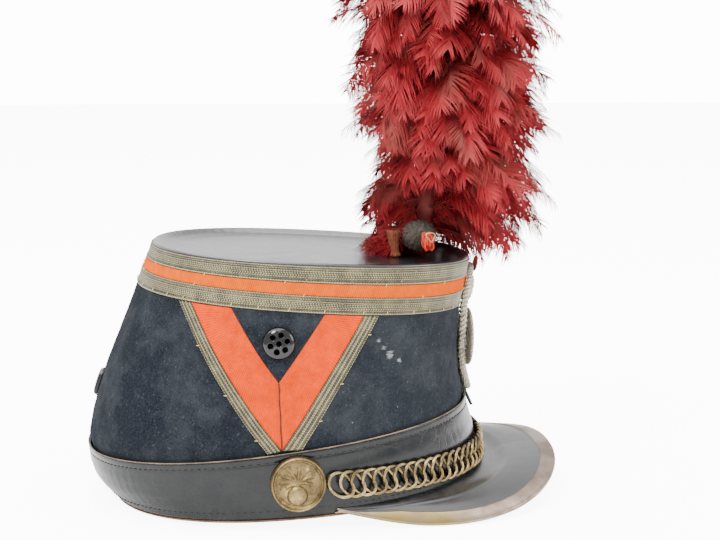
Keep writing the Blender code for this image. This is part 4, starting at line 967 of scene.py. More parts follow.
def chain_shape():
    """Links on the crown: an oval in reach and height whose wire rises and falls off the surface as the sine
    of twice its angle, so each passes through the next."""
    c = CHAIN
    boss_angle = float(angle_at(BOSS["forward"], 1.0))
    angles = np.linspace(boss_angle, -boss_angle, 500)
    heights = c["side"] + (c["front"] - c["side"]) * np.clip(np.cos(angles), 0, 1)
    point, normal, _, up = wall_frame(angles, level_at(angles, heights))
    point = point + normal * (0.6 + c["wire"] / 2 + c["twist"] * 0.9)
    steps = np.append(0, np.cumsum(np.linalg.norm(np.diff(point, axis=0), axis=1)))
    clear = BOSS["radius"] + 0.3 + c["half_length"] + c["wire"] / 2
    length = steps[-1] - 2 * clear
    centres = clear + np.linspace(0, length, int(round(length / c["pitch"])) + 1)
    rng = np.random.default_rng(4)
    turn = np.linspace(0, 2 * math.pi, 26, endpoint=False)[None, :]
    place = centres[:, None] + c["half_length"] * np.cos(turn) + rng.normal(0, 0.12, (len(centres), 1))

    def read(field):
        """Values of a field of the path at the links' places."""
        return np.stack([np.interp(place, steps, field[:, i]) for i in range(3)], axis=-1)

    twist = c["twist"] * (np.sin(2 * turn) + 0.2 * np.sin(4 * turn))
    tall = c["half_height"] * np.sin(turn) * (1 + rng.normal(0, 0.012, (len(centres), 1)))
    paths = read(point) + read(up) * tall[..., None] + read(normal) * twist[..., None]
    return tubes(paths, read(normal), c["wire"] / 2, 9, closed=True)


def on_wall(side, reach, height, out):
    """Centre, right, up and outward directions of a round piece on the crown."""
    angle = -side * float(angle_at(reach, level_at(math.pi / 2, height)))
    point, normal, _, _ = wall_frame(angle, level_at(angle, height))
    right = unit(np.cross([0, 0, 1.0], normal))
    return point + normal * out, right, np.cross(normal, right), normal


def round_relief(seat, radii, rise, shade=None, columns=112):
    """Disc seen along its axis: rings at the radii, raised by a function of x and y, with a flat back."""
    centre, right, up, out = seat
    turn = np.linspace(0, 2 * math.pi, columns, endpoint=False)[None, :]
    x, y = radii[:, None] * np.sin(turn), radii[:, None] * np.cos(turn)
    z = rise(x, y, radii[:, None] + 0 * turn)
    for share in (0.97, 0.3):
        x = np.concatenate([x, x[-1:] * share])
        y = np.concatenate([y, y[-1:] * share])
        z = np.concatenate([z, 0 * z[-1:]])
    points = centre + x[..., None] * right + y[..., None] * up + z[..., None] * out
    made = surface(points, wrap_columns=True, poles=(True, True))
    if shade:
        made.tone[:x.size] = shade(x, y).ravel()
        made.tone[x.size] = made.tone[0]
    return made


# Flames of the boss grenade: lean at the root and at the tip in degrees, length in mm
FLAMES = ((-78, -104, 6.4), (-54, -84, 8.2), (-32, -58, 9.0), (-12, -30, 9.6), (6, 10, 8.6), (22, 42, 9.6),
          (42, 70, 8.8), (66, 98, 7.4))


def boss_relief(x, y, r):
    """Height of the boss: domed disc, rolled rim and inner ring, with a ball and flames raised on it.
    Each flame is a bent taper whose height falls off with the square of the distance from its line."""
    base = 1.75 - 0.45 * (r / BOSS["radius"]) ** 2
    rim = 1.35 * np.exp(-((r - 12.9) / 0.75) ** 2) + 0.5 * np.exp(-((r - 10.9) / 0.28) ** 2)
    fall = np.clip((BOSS["radius"] - r) / 0.5, 0, 1) ** 0.5
    ball_x, ball_y, ball_r = -1.0, -5.4, 5.0
    gap = np.hypot(x - ball_x, y - ball_y)
    ball = np.sqrt(np.clip(ball_r ** 2 - gap ** 2, 0, None)) * 0.52
    collar = 0.8 * np.exp(-((x + 0.7) / 2.4) ** 4 - ((y - 0.1) / 0.7) ** 4)
    root, tip, length = (np.array(FLAMES)[:, i, None, None] for i in range(3))
    part = np.clip(np.hypot(x + 0.5, y - 0.2) / length, 0, 1.2)
    lean = np.radians(root + (tip - root) * part)
    along = np.arctan2(x + 0.5, y - 0.2)
    away = np.abs(np.angle(np.exp(1j * (along - lean)))) * np.hypot(x + 0.5, y - 0.2)
    wide = 0.5 + 0.5 * np.sin(np.clip(part, 0, 1) * 2.6) + 0.25 * np.exp(-((part - 0.92) / 0.08) ** 2)
    flames = np.max(0.95 * np.clip(1 - (away / wide) ** 2, 0, 1) * (part < 1), axis=0)
    raised = np.maximum(np.maximum(ball, collar), flames) * (r < 10.6)
    return (base + rim) * fall + raised


def vent_gap(x, y):
    """Distance to the middle of the nearest hole: one in the middle and six round it."""
    turn = np.radians(12) + np.arange(6) * math.pi / 3
    hole_x = np.append(0.0, VENT["ring"] * np.cos(turn))[:, None, None]
    hole_y = np.append(0.0, VENT["ring"] * np.sin(turn))[:, None, None]
    return np.min(np.hypot(x - hole_x, y - hole_y), axis=0)


def vent_shade(x, y):
    """One inside a hole and nought outside, with a steep slope between."""
    return 1 / (1 + np.exp((vent_gap(x, y) - VENT["hole"] + 0.1) * 14))


def vent_relief(x, y, r):
    """Dome with a thin flange, and round wells sunk in it, each with a fine lip."""
    dome = VENT["dome"] * (0.12 + 0.88 * np.sqrt(np.clip(1 - (r / VENT["radius"]) ** 2, 0, 1)))
    gap = vent_gap(x, y)
    well = 1 / (1 + np.exp((gap - VENT["hole"]) * 14))
    lip = 0.12 * np.exp(-((gap - VENT["hole"] - 0.2) / 0.16) ** 2)
    return np.maximum(dome - VENT["deep"] * well + lip, 0.35)


# Front trim

def front_point(height, side, out):
    """Point before the crown's front line, off its surface by out and to the side, following its curve."""
    point, normal, _, _ = wall_frame(0.0, level_at(0.0, height))
    curve = np.asarray(side) ** 2 / (2 * SECTION_SCALE[4])
    shift = np.stack(np.broadcast_arrays(side, curve, 0.0), axis=-1)
    return point + normal * np.asarray(out)[..., None] + shift, normal


def plait(path, out, radius, turns):
    """Three strands over a path: each swings from side to side as a sine and in and out at twice the rate."""
    ahead = np.roll(path, -1, axis=0) - np.roll(path, 1, axis=0)
    side = unit(np.cross(unit(ahead), out))
    run = np.linspace(0, 2 * math.pi, len(path), endpoint=False)[None, :]
    phase = np.arange(3)[:, None] * 2 * math.pi / 3
    swing = np.sin(turns * run + phase)[..., None] * radius * 0.55
    lift = np.sin(2 * (turns * run + phase))[..., None] * radius * 0.5
    paths = path[None] + side[None] * swing + out[None] * lift
    return tubes(paths, np.broadcast_to(out[None], paths.shape), radius * 0.44, 8, closed=True)


def front_cord_shape():
    """Plaited cord in a long loop down the front, narrow at its foot."""
    turn = np.linspace(0, 2 * math.pi, 420, endpoint=False)
    share = (1 - np.cos(turn)) / 2
    heights = CORD["low"] + (CORD["high"] - CORD["low"]) * share
    sides = CORD["spread"] * np.sin(turn) * (0.35 + 0.75 * share)
    path, normal = front_point(heights, sides, np.full(turn.shape, CORD["seat"] + CORD["radius"]))
    return plait(path, normal, CORD["radius"] * 1.15, 26)


def knot_shape():
    """Plaited ring standing on the cord, with a second smaller ring across it."""
    height = CORD["knot"]
    centre, normal = front_point(np.array([height]), np.array([0.0]), np.array([CORD["seat"] + 3.9]))
    out = normal[0]
    right = np.array([1.0, 0, 0])
    up = np.cross(out, right)
    turn = np.linspace(0, 2 * math.pi, 120, endpoint=False)[:, None]
    ring = centre + CORD["knot_radius"] * (np.cos(turn) * right + np.sin(turn) * up)
    inner = centre + 0.7 * out + 0.42 * CORD["knot_radius"] * (np.cos(turn) * right + 1.25 * np.sin(turn) * up)
    outs = np.broadcast_to(out, ring.shape)
    return joined([plait(ring, outs, 2.5, 9), plait(inner, outs, 1.7, 6)])


def cockade_relief(x, y, r):
    """Height of the cockade: cord wound in rings on a shallow dome, with a small button in the middle."""
    share = np.clip(r / COCKADE["radius"], 0, 1)
    dome = COCKADE["stand"] + COCKADE["thickness"] * (0.95 - 0.15 * share ** 2)
    rings = 0.25 * np.abs(np.cos(math.pi * r / 2.6)) + 0.12 * np.sin(48 * np.arctan2(x, y) + 2.2 * r)
    button = 0.5 * np.sqrt(np.clip(1 - (r / 3.6) ** 2, 0, 1))
    return dome + rings * (r > 3.6) + button - 0.7 * np.clip((share - 0.93) / 0.07, 0, 1) ** 2


def cockade_shape():
    """Round cord disc standing on a post before the crown."""
    point, normal, _, _ = wall_frame(0.0, level_at(0.0, COCKADE["height"]))
    right = np.array([1.0, 0, 0])
    seat = (point, right, np.cross(normal, right), normal)
    columns = np.linspace(0, 2 * math.pi, 160, endpoint=False)[None, :]
    radii = np.linspace(0.3, COCKADE["radius"], 38)
    back = np.array([(0.985, 0.35), (0.97, 0.0), (0.5, 0.0), (0.16, 0.0), (0.15, -1.0)])
    r = np.concatenate([radii, back[:, 0] * COCKADE["radius"]])[:, None]
    x, y = r * np.sin(columns), r * np.cos(columns)
    z = cockade_relief(x, y, r + 0 * columns)
    z[len(radii):] = COCKADE["stand"] + back[:, 1:]
    z[-1] = 0.3
    points = seat[0] + x[..., None] * seat[1] + y[..., None] * seat[2] + z[..., None] * seat[3]
    return surface(points, wrap_columns=True, poles=(True, True))


def tongue_shape():
    """Thin pointed leaf with a raised midrib, leaving the crown toward its point."""
    s = np.linspace(0, 1, 40)[None, :]
    t = np.linspace(-1, 1, 15)[:, None]
    start = CORD["low"] + TONGUE["length"] * TONGUE["hidden"]
    middle, normal = front_point(start - TONGUE["length"] * s[0], 0 * s[0], 0.7 + 1.4 * s[0] ** 2)
    half = TONGUE["half_width"] * np.sqrt(np.clip(1 - s ** 1.6, 0.003, 1))
    x = t * half
    rib = 0.45 * np.exp(-(t / 0.16) ** 2) + 0.12 * np.cos(t * 9 + 7 * s) * (1 - t ** 2)
    base = middle[None] + np.stack(np.broadcast_arrays(x, 0.3 * t ** 2 + 0 * x, 0 * x), axis=-1)
    outer = base + normal[None] * (0.95 + rib)[..., None]
    return shell(outer, base)


def tab_shape():
    """Small rounded pad: a flat ellipse with a full edge."""
    stand = CORD["seat"] + 2 * CORD["radius"] + 1.0
    centre, normal = front_point(np.array([TAB_HEIGHT]), np.array([0.0]), np.array([stand]))
    out, right = normal[0], np.array([1.0, 0, 0])
    up = np.cross(out, right)
    v = np.linspace(0.04, math.pi - 0.04, 26)[:, None]
    w = np.linspace(0, 2 * math.pi, 40, endpoint=False)[None, :]
    x, y = 4.5 * np.sin(v) ** 0.6 * np.cos(w), 4.3 * np.sin(v) ** 0.6 * np.sin(w)
    z = 0.9 * signed_power(np.cos(v), 0.55) + 0 * w
    points = centre[0] + x[..., None] * right + y[..., None] * up + z[..., None] * out
    return surface(points, wrap_columns=True, poles=(True, True))


def rear_tab_shape():
    """Leather tab on the back's middle line, thick and rounded toward its edges."""
    levels = np.linspace(3.40, 3.95, 22)[:, None]
    spread = 13.0 / (2 * SECTION_SCALE[4]) * np.linspace(-1, 1, 26)[None, :]
    edge = (np.clip(1 - np.abs(np.linspace(-1, 1, 22))[:, None] ** 6, 0, 1)
            * np.clip(1 - np.abs(np.linspace(-1, 1, 26))[None, :] ** 8, 0, 1))
    outer = wall_point(math.pi + spread, levels, 0.5 + 1.8 * edge ** 0.4)
    return shell(outer, wall_point(math.pi + spread, levels, 0.1))


# Plume

def plume_axis(share):
    """Reach and height of the plume's core at a share of its height."""
    foot = top_height(PLUME["forward"] - PLUME["core"]) - TOP_DEPTH + 0.3
    reach = PLUME["forward"] + PLUME["lean"] * np.clip(share / 0.35, 0, 1) ** 1.5
    return reach, foot + PLUME["height"] * share


# Tiers: root height share, how many feathers, length at the front and at the back mm, half width mm,
# rise and fall of the quill in degrees
TIERS = (
    (0.110, 64, 46.0, 38.0, 13.0, 6.0, -60.0),
    (0.155, 60, 52.0, 36.0, 13.5, 10.0, -58.0),
    (0.205, 84, 61.0, 37.0, 14.0, 18.0, -56.0),
    (0.310, 74, 50.0, 37.0, 14.5, 24.0, -56.0),
    (0.415, 78, 45.0, 54.0, 14.5, 26.0, -56.0),
    (0.520, 80, 49.0, 57.0, 15.0, 28.0, -56.0),
    (0.625, 80, 53.0, 62.0, 15.0, 30.0, -54.0),
    (0.730, 76, 53.0, 60.0, 15.0, 34.0, -50.0),
    (0.825, 66, 46.0, 50.0, 14.0, 42.0, -42.0),
    (0.885, 44, 35.0, 37.0, 13.0, 58.0, -20.0),
)
# The three lowest tiers leave room for the bulb: bearing of the gap, from the front toward the wearer's left
BULB_BEARING = math.radians(-122)
STATIONS = 60


def feather_shapes(tier, seed):
    """Feathers of one tier.  A quill leaves the core and its slope runs from rise to fall; at each station two
    barbs leave it at an angle that narrows toward the tip, bend with their length, and taper to a point.
    Barbs are sorted in locks that share a small turn, so the vane splits as a worn one does."""
    rng = np.random.default_rng(seed)
    share, count, front, rear, half, rise, fall = tier
    a = np.linspace(0, 2 * math.pi, count, endpoint=False) * 3 + rng.normal(0, 0.16, count)
    toward = np.cos(a - BULB_BEARING)
    low = np.clip((0.30 - share) / 0.2, 0, 1)
    open_side = toward < np.interp(share, [0.11, 0.205, 0.31], [0.1, 0.62, 1.1])
    a, toward = a[open_side], toward[open_side]
    count = len(a)
    share = share + rng.uniform(-0.042, 0.042, count)
    reach, height = plume_axis(share)
    radial = np.stack([np.sin(a), -np.cos(a), 0 * a], axis=-1)
    root = np.stack([0 * a, -reach, height], axis=-1) + radial * 3.0
    length = front + (rear - front) * (1 - np.cos(a)) / 2
    length *= rng.uniform(0.80, 1.18, count) * (1 - 0.15 * low * np.clip(toward, 0, 1))
    half = half * rng.uniform(0.75, 1.15, count)
    t = np.linspace(0, 1, STATIONS)[None, :]
    start = np.radians(rise + rng.normal(0, 11, count))[:, None]
    end = np.radians(fall + rng.normal(0, 15, count) + 34 * low * np.clip(toward, 0, 1))[:, None]
    slope = start + (end - start) * t ** rng.uniform(0.8, 1.5, (count, 1))
    sway = rng.normal(0, 0.28, (count, 1)) * t
    across = np.cross(radial, [0, 0, 1.0])
    ahead = (radial[:, None] * (np.cos(slope) * np.cos(sway))[..., None]
             + across[:, None] * (np.cos(slope) * np.sin(sway))[..., None]
             + np.array([0, 0, 1.0]) * np.sin(slope)[..., None])
    quill = root[:, None] + np.cumsum(ahead, axis=1) * (length / STATIONS)[:, None, None]
    flat = unit(np.cross(ahead, np.cross(across[:, None] + 0 * ahead, ahead)))
    top = np.cross(flat, ahead)
    roll = rng.normal(0, 0.55, (count, 1, 1))
    side = flat * np.cos(roll) + top * np.sin(roll)
    face = np.cross(side, ahead)
    face = face * np.sign(face[:, :1, 2:] + 1e-6)

    hand = np.array([-1.0, 1.0])[None, None, :]
    locks = rng.normal(0, 0.12, (count, 16, 2))
    lock = locks[:, np.minimum((t[0] * 16).astype(int), 15)]
    open_angle = (1.12 - 0.55 * t[..., None]) + lock + rng.normal(0, 0.06, (count, STATIONS, 2))
    full = (np.sin(math.pi * np.clip(t * 0.93 + 0.05, 0, 1)) ** 0.55)[..., None]
    barb = half[:, None, None] * full * (1 + rng.normal(0, 0.10, (count, STATIONS, 2))) * 1.25 + 1.5
    q = np.array([0.0, 0.34, 0.68, 1.0])
    bend = open_angle[..., None] * (1 - 0.38 * q)
    droop = -0.10 - 0.40 * q + 0 * bend + rng.normal(0, 0.10, (count, STATIONS, 2, 1))
    swing = hand[..., None] * np.sin(bend)
    direction = (ahead[:, :, None, None] * np.cos(bend)[..., None] + side[:, :, None, None] * swing[..., None]
                 + face[:, :, None, None] * droop[..., None])
    direction = unit(direction)
    steps = direction[..., 1:, :] * (barb / 3)[..., None, None]
    run = np.concatenate([0 * steps[..., :1, :], np.cumsum(steps, axis=-2)], axis=-2)
    line = quill[:, :, None, None] + run
    wide = unit(np.cross(direction, face[:, :, None, None] + 0 * direction))
    thick = np.array([0.62, 0.53, 0.28])[:, None] * (0.8 + 0.4 * rng.random((count, STATIONS, 2, 1, 1)))
    left = line[..., :3, :] - wide[..., :3, :] * thick / 2
    right = line[..., :3, :] + wide[..., :3, :] * thick / 2
    pairs = np.stack([left, right], axis=-2).reshape(count, STATIONS, 2, 6, 3)
    points = np.concatenate([pairs, line[..., 3:, :]], axis=-2)
    flat_points = points.reshape(-1, 3)
    base = np.arange(len(flat_points) // 7)[:, None] * 7
    quads = np.concatenate([base + [0, 1, 3, 2], base + [2, 3, 5, 4]])
    tips = base + [4, 5, 6]
    own = np.clip(rng.normal(0.46, 0.17, (count, 1, 1)), 0.1, 0.9)
    tone = own + 0.30 * (t[..., None] - 0.62) + rng.normal(0, 0.05, (count, STATIONS, 2))
    tone = tone[..., None] + np.array([-0.20, -0.20, -0.02, -0.02, 0.12, 0.12, 0.24])
    vane = Surface(flat_points, [quads, tips], [np.zeros((len(quads), 4, 2)), np.zeros((len(tips), 3, 2))],
                   np.clip(tone, 0, 1).ravel())
    thin = 0.42 * (1 - 0.85 * t[:, ::8])
    stem = tubes(quill[:, ::8], face[:, ::8] + 0 * quill[:, ::8], thin, 4)
    stem.tone[:] = 0.62
    return joined([vane, stem])


def fluff_shape():
    """Loose downy barbs round the plume's foot, on the side toward the back: short curved hairs in tufts."""
    rng = np.random.default_rng(77)
    tufts, hairs = 44, 34
    seat = top_height(PLUME["forward"]) - TOP_DEPTH
    reach = rng.uniform(48.0, 78.0, (tufts, 1))
    side = rng.normal(-4.0, 8.0, (tufts, 1))
    height = seat + 6 + rng.uniform(2, 22, (tufts, 1)) * np.clip((reach - 44) / 30, 0.2, 1)
    base = np.stack([side, -reach - 8, height], axis=-1)
    lean = unit(rng.normal(0, 1, (tufts, 1, 3)) * [1.0, 0.6, 0.6] + [-0.5, 0.9, -0.5])
    way = unit(lean + rng.normal(0, 0.42, (tufts, hairs, 3)))
    size = rng.uniform(4.0, 12.0, (tufts, hairs, 1))
    t = np.linspace(0, 1, 5)[:, None]
    curl = unit(rng.normal(0, 1, (tufts, hairs, 3)))
    paths = base[:, :, None] + way[:, :, None] * size[:, :, None] * t + curl[:, :, None] * (t ** 2) * 2.4
    paths = paths.reshape(-1, 5, 3)
    paths[..., 2] = np.maximum(paths[..., 2], seat + 0.15)
    normals = np.broadcast_to(np.array([0.3, 0.5, 0.8]), paths.shape)
    hair = tubes(paths, normals, 0.30 * (1 - 0.8 * t[:, 0])[None], 3)
    tone = np.clip(rng.normal(0.45, 0.2, tufts * hairs), 0, 1)
    hair.tone[:] = np.repeat(tone, len(hair.points) // (tufts * hairs))
    return hair


def core_shape():
    """Wound core of the plume: a tapering tube from the crown's top to the crest."""
    share = np.linspace(0, 0.97, 60)
    reach, height = plume_axis(share)
    path = np.stack([0 * reach, -reach, height], axis=-1)[None]
    core = tubes(path, np.broadcast_to([1.0, 0, 0], path.shape), PLUME["core"] * (1 - 0.45 * share)[None], 14)
    core.tone[:] = 0.08
    return core


def blob(centre, radii, relief, rows=36, columns=64):
    """Ball stretched to three radii and raised by a function of its two angles."""
    v = np.linspace(0.03, math.pi - 0.03, rows)[:, None]
    w = np.linspace(0, 2 * math.pi, columns, endpoint=False)[None, :]
    grow = 1 + relief(v, w)
    x, y, z = np.sin(v) * np.cos(w), np.sin(v) * np.sin(w), np.cos(v) + 0 * w
    points = np.stack([x * grow * radii[0], y * grow * radii[1], z * grow * radii[2]], axis=-1) + centre
    return surface(points, wrap_columns=True, poles=(True, True))


def bulb_centre():
    """Middle of the woolly bulb, beside the plume's core on the wearer's right."""
    side = -(PLUME["core"] + 0.3 + BULB["radii"][0])
    return np.array([side, -PLUME["forward"] + 2.0, top_height(PLUME["forward"]) - TOP_DEPTH + BULB["rise"]])


def bulb_shape():
    """Ball of wool: a stretched ball with sine lumps, and short hairs standing off it."""
    centre, radii = bulb_centre(), np.array(BULB["radii"])
    body = blob(centre, radii - 0.35, lambda v, w: 0.045 * ripple(w, v * 3, 51) + 0.03 * np.sin(11 * w + 9 * v))
    rng = np.random.default_rng(52)
    way = unit(rng.normal(0, 1, (900, 3)))
    start = centre + way * (radii - 0.5)
    tip = start + unit(way + rng.normal(0, 0.9, way.shape)) * rng.uniform(0.6, 1.6, (900, 1))
    t = np.array([0.0, 0.5, 1.0])[:, None]
    paths = start[:, None] + (tip - start)[:, None] * t + rng.normal(0, 0.15, (900, 3, 3)) * t
    hairs = tubes(paths, np.broadcast_to(np.array([0.2, 0.4, 0.9]), paths.shape), 0.12, 3)
    return joined([body, hairs])


def stem_shape():
    """Flared stem of bundled threads: a cone whose radius ripples with angle and opens at its mouth."""
    reach = PLUME["forward"] - 2.0 - BULB["radii"][1] - 0.3 - 3.5
    foot = top_height(reach - 2.3) - TOP_DEPTH + 0.3
    side = bulb_centre()[0]
    share = np.linspace(0, 1, 26)[:, None]
    turn = np.linspace(0, 2 * math.pi, 60, endpoint=False)[None, :]
    flare = 2.3 + 1.2 * share ** 2 + 0.5 * np.exp(-((share - 0.06) / 0.06) ** 2)
    radius = flare * (1 + 0.06 * np.sin(15 * turn + 3 * share))
    wobble = 0.7 * np.sin(2.4 * share)
    x, y = side + radius * np.sin(turn), -reach + radius * np.cos(turn) + wobble
    points = np.stack([x, y, foot + 14.0 * share + 0.25 * np.sin(9 * turn) * share + 0 * turn], axis=-1)
    return surface(points, wrap_columns=True, poles=(True, True))


def bead_shapes():
    """Cord end wound in loops over a small core, and the pale wire loop that stands on it."""
    away = np.array([-0.96, -0.28, 0.0])
    reach_out = 0.93 / math.hypot(away[0] / BULB["radii"][0], away[1] / BULB["radii"][1])
    centre = bulb_centre() + away * (reach_out + 0.3 + 3.4) - [0, 0, 2.2]
    core = blob(centre, (2.8, 2.7, 3.3), lambda v, w: 0.05 * np.sin(7 * w + 6 * v))
    t = np.linspace(0, 2 * math.pi, 60, endpoint=False)[None, :, None]
    spin = (np.arange(7) * math.pi / 7 + 0.2)[:, None, None]
    tilt = np.array([0.2, -0.5, 0.9, -0.2, 0.6, -0.9, 0.1])[:, None, None]
    ring = np.concatenate([3.2 * np.cos(t) * np.cos(spin), 3.0 * np.cos(t) * np.sin(spin),
                           3.6 * np.sin(t) + tilt * np.cos(t) * 3], axis=-1)
    loops = tubes(centre + ring, unit(ring), 0.55, 6, closed=True)
    s = np.linspace(0, 1, 40)[None, :, None]
    bend = np.concatenate([0 * s, 2.4 * np.sin(2 * math.pi * s * 0.98),
                           5.2 * np.sin(math.pi * s) ** 0.8 - 0.4 * s], axis=-1)
    bow = centre + away * 3.6 + bend
    wire = tubes(bow, np.broadcast_to(away, bow.shape), 0.34, 7)
    return joined([core, loops]), wire


# Add-on

class ShakoSizes(bpy.types.PropertyGroup):
    """Sizes that a user would change."""

    lace_thread: bpy.props.FloatProperty(
        name="Lace thread", description="Spacing of the drawn lace threads, in mm",
        default=1.3, min=0.3, max=4.0)
    stitch_spacing: bpy.props.FloatProperty(
        name="Stitch spacing", description="Spacing of the band's stitches, in mm",
        default=3.4, min=1.0, max=10.0)
    tack_spacing: bpy.props.FloatProperty(
        name="Tack spacing", description="Spacing of the yellow tacking stitches, in mm",
        default=15.5, min=4.0, max=60.0)
    crack_size: bpy.props.FloatProperty(
        name="Crack size", description="Width of the plates between cracks in the leather, in mm",
        default=9.0, min=2.0, max=40.0)
    feather_seed: bpy.props.IntProperty(
        name="Feather seed", description="Number that places the feathers",
        default=11, min=0)


class ShakoColours(bpy.types.PropertyGroup):
    """Colours that a user would change."""

    cloth: bpy.props.FloatVectorProperty(
        name="Cloth", description="Wool of the crown",
        subtype="COLOR", size=3, min=0, max=1, default=linear("15181d"))
    braid: bpy.props.FloatVectorProperty(
        name="Braid", description="Orange stripe and chevrons",
        subtype="COLOR", size=3, min=0, max=1, default=linear("be3700"))
    leather: bpy.props.FloatVectorProperty(
        name="Leather", description="Band, top and peak",
        subtype="COLOR", size=3, min=0, max=1, default=linear("07080a"))
    feather: bpy.props.FloatVectorProperty(
        name="Feather", description="Plume",
        subtype="COLOR", size=3, min=0, max=1, default=linear("801a1f"))


class SHAKO_OT_crown(bpy.types.Operator):
    """Build the cloth crown"""

    bl_idname = "shako.crown"
    bl_label = "Cloth crown"

    def execute(self, context):
        cloth = wool_cloth(context.scene.shako_colours.cloth)
        make_piece("crown_cloth", crown_cloth_shape(), cloth, ("crown_body",))
        return {"FINISHED"}


class SHAKO_OT_leather(bpy.types.Operator):
    """Build the sunken top, the band, the sweatband and the rear tab"""

    bl_idname = "shako.leather"
    bl_label = "Leather top, band and sweatband"

    def execute(self, context):
        colour, size = context.scene.shako_colours.leather, context.scene.shako_sizes.crack_size
        top = patent_leather("varnished_top_leather", colour, "2c2c30", 0.27, size * 1.8, 1.0)
        band = patent_leather("varnished_band_leather", colour, "1c1e1d", 0.18, size, 0.42)
        make_piece("crown_top_leather", crown_top_shape(), top, ("crown_top",))
        make_piece("band_leather", band_shape(), band, ("head_band",))
        make_piece("sweatband_leather", sweatband_shape(), sweat_leather(), ("sweatband",))
        make_piece("rear_tab_leather", rear_tab_shape(), band, ("rear_tab",))
        return {"FINISHED"}


class SHAKO_OT_braid(bpy.types.Operator):
    """Build the lace and braid rings and the side chevrons"""

    bl_idname = "shako.braid"
    bl_label = "Lace rings and chevrons"

    def execute(self, context):
        lace = metal_lace("tarnished_silver_lace", "8e845c", "221f14", context.scene.shako_sizes.lace_thread)
        colour = context.scene.shako_colours.braid
        braid = wool_braid("worsted_braid", colour)
        faded = wool_braid("faded_worsted_braid", (0.92 * colour[0], 1.75 * colour[1], colour[2]))
        for name in GALON:
            stripe = name == "galon_stripe"
            make_piece(name + "_woven", galon_shape(name), faded if stripe else lace,
                       (name,))
        for side, word in ((1, "right"), (-1, "left")):
            orange, front, rear = chevron_shapes(-side)
            make_piece(f"chevron_{word}_braid", orange, braid, (f"chevron_{word}_orange",))
            for way, arm in (("front", front), ("rear", rear)):
                make_piece(f"chevron_{word}_{way}_lace", arm, lace, (f"chevron_{word}_lace_{way}",))
        return {"FINISHED"}


class SHAKO_OT_stitches(bpy.types.Operator):
    """Sew the band, and tack the lace with yellow thread"""

    bl_idname = "shako.stitches"
    bl_label = "Stitches"

    def execute(self, context):
        sizes = context.scene.shako_sizes
        around = float(run_length(oval(ring_angles(720), 1.0)[None], 1)[-1])
        thread = plain_finish("waxed_linen_thread", "2a2723", "0d0c0b", 900.0, 0.8)
        yellow = plain_finish("yellow_silk_thread", "d9c06a", "9a8440", 900.0, 0.7)
        count = int(around / sizes.stitch_spacing)
        angles = ring_angles(count)
        rows = [stitch_shapes(angles, np.full(count, level), -0.06, 2.3, 0.2) for level in (1.815, 0.30)]
        make_piece("band_stitches", joined(rows), thread)
        count = int(around / sizes.tack_spacing)
        rng = np.random.default_rng(9)
        angles = ring_angles(count) + rng.normal(0, 0.012, count)
        skirt = GALON_LOW + 0.995 * (skirt_level() - GALON_LOW)
        levels = [GALON_LOW + 0.05] + [GALON_LOW + share * (skirt - GALON_LOW) for share in (0.385, 0.645)]
        rows = [stitch_shapes(angles[k::step] + 0.05 * k, np.full(count, level)[k::step], 0.75, 1.7, 0.19, 1.45)
                for k, (level, step) in enumerate(zip(levels, (1, 4, 3)))]
        edges = (("front_edge", "front_foot"), ("rear_edge", "rear_foot"))
        for index, (head, foot) in enumerate(edges):
            rows += [edge_stitches(side, (CHEVRON[head], CHEVRON[foot]), 3, 20 + index) for side in (-1, 1)]
        make_piece("lace_tacks", joined(rows), yellow)
        dark = plain_finish("brown_linen_thread", "3a2010", "120a05", 900.0, 0.9)
        make_piece("chevron_seams", joined([seam_shape(-1), seam_shape(1)]), dark)
        cut = plain_finish("cut_leather_edge", "7a6850", "1d1813", 60.0, 0.8)
        make_piece("band_cut_edge", raw_edge_shape(), cut)
        return {"FINISHED"}


class SHAKO_OT_peak(bpy.types.Operator):
    """Build the leather peak and its brass binding"""

    bl_idname = "shako.peak"
    bl_label = "Peak and binding"

    def execute(self, context):
        leather, brass = peak_shapes()
        colour = context.scene.shako_colours.leather
        finish = patent_leather("varnished_peak_leather", colour, "2a2c30", 0.36, 14.0, 0.9)
        make_piece("peak_leather", leather, finish, ("peak",))
        make_piece("peak_brass", brass, binding_brass(), ("peak_binding",))
        return {"FINISHED"}


class SHAKO_OT_metal(bpy.types.Operator):
    """Build the chin chain, its bosses and the side vents"""

    bl_idname = "shako.metal"
    bl_label = "Chain, bosses and vents"

    def execute(self, context):
        wire = aged_brass("drawn_brass_wire", "bba577", "83714f", "3a3124", 0.50, 0.38)
        stamped = aged_brass("stamped_brass", "b89e6a", "806d49", "43382a", 0.50, 0.40)
        enamel = black_enamel()
        make_piece("chin_chain_links", chain_shape(), wire, ("chin_chain",))
        for side, word in ((1, "right"), (-1, "left")):
            seat = on_wall(side, BOSS["forward"], BOSS["height"], BOSS["seat"])
            boss = round_relief(seat, np.linspace(0.12, BOSS["radius"], 64), boss_relief)
            make_piece(f"boss_{word}_stamping", boss, stamped, (f"boss_{word}",))
            seat = on_wall(side, VENT["forward"], VENT["height"], 0.3)
            vent = round_relief(seat, np.linspace(0.1, VENT["radius"], 46), vent_relief, vent_shade)
            make_piece(f"vent_{word}_enamel", vent, enamel, (f"vent_{word}",))
        return {"FINISHED"}


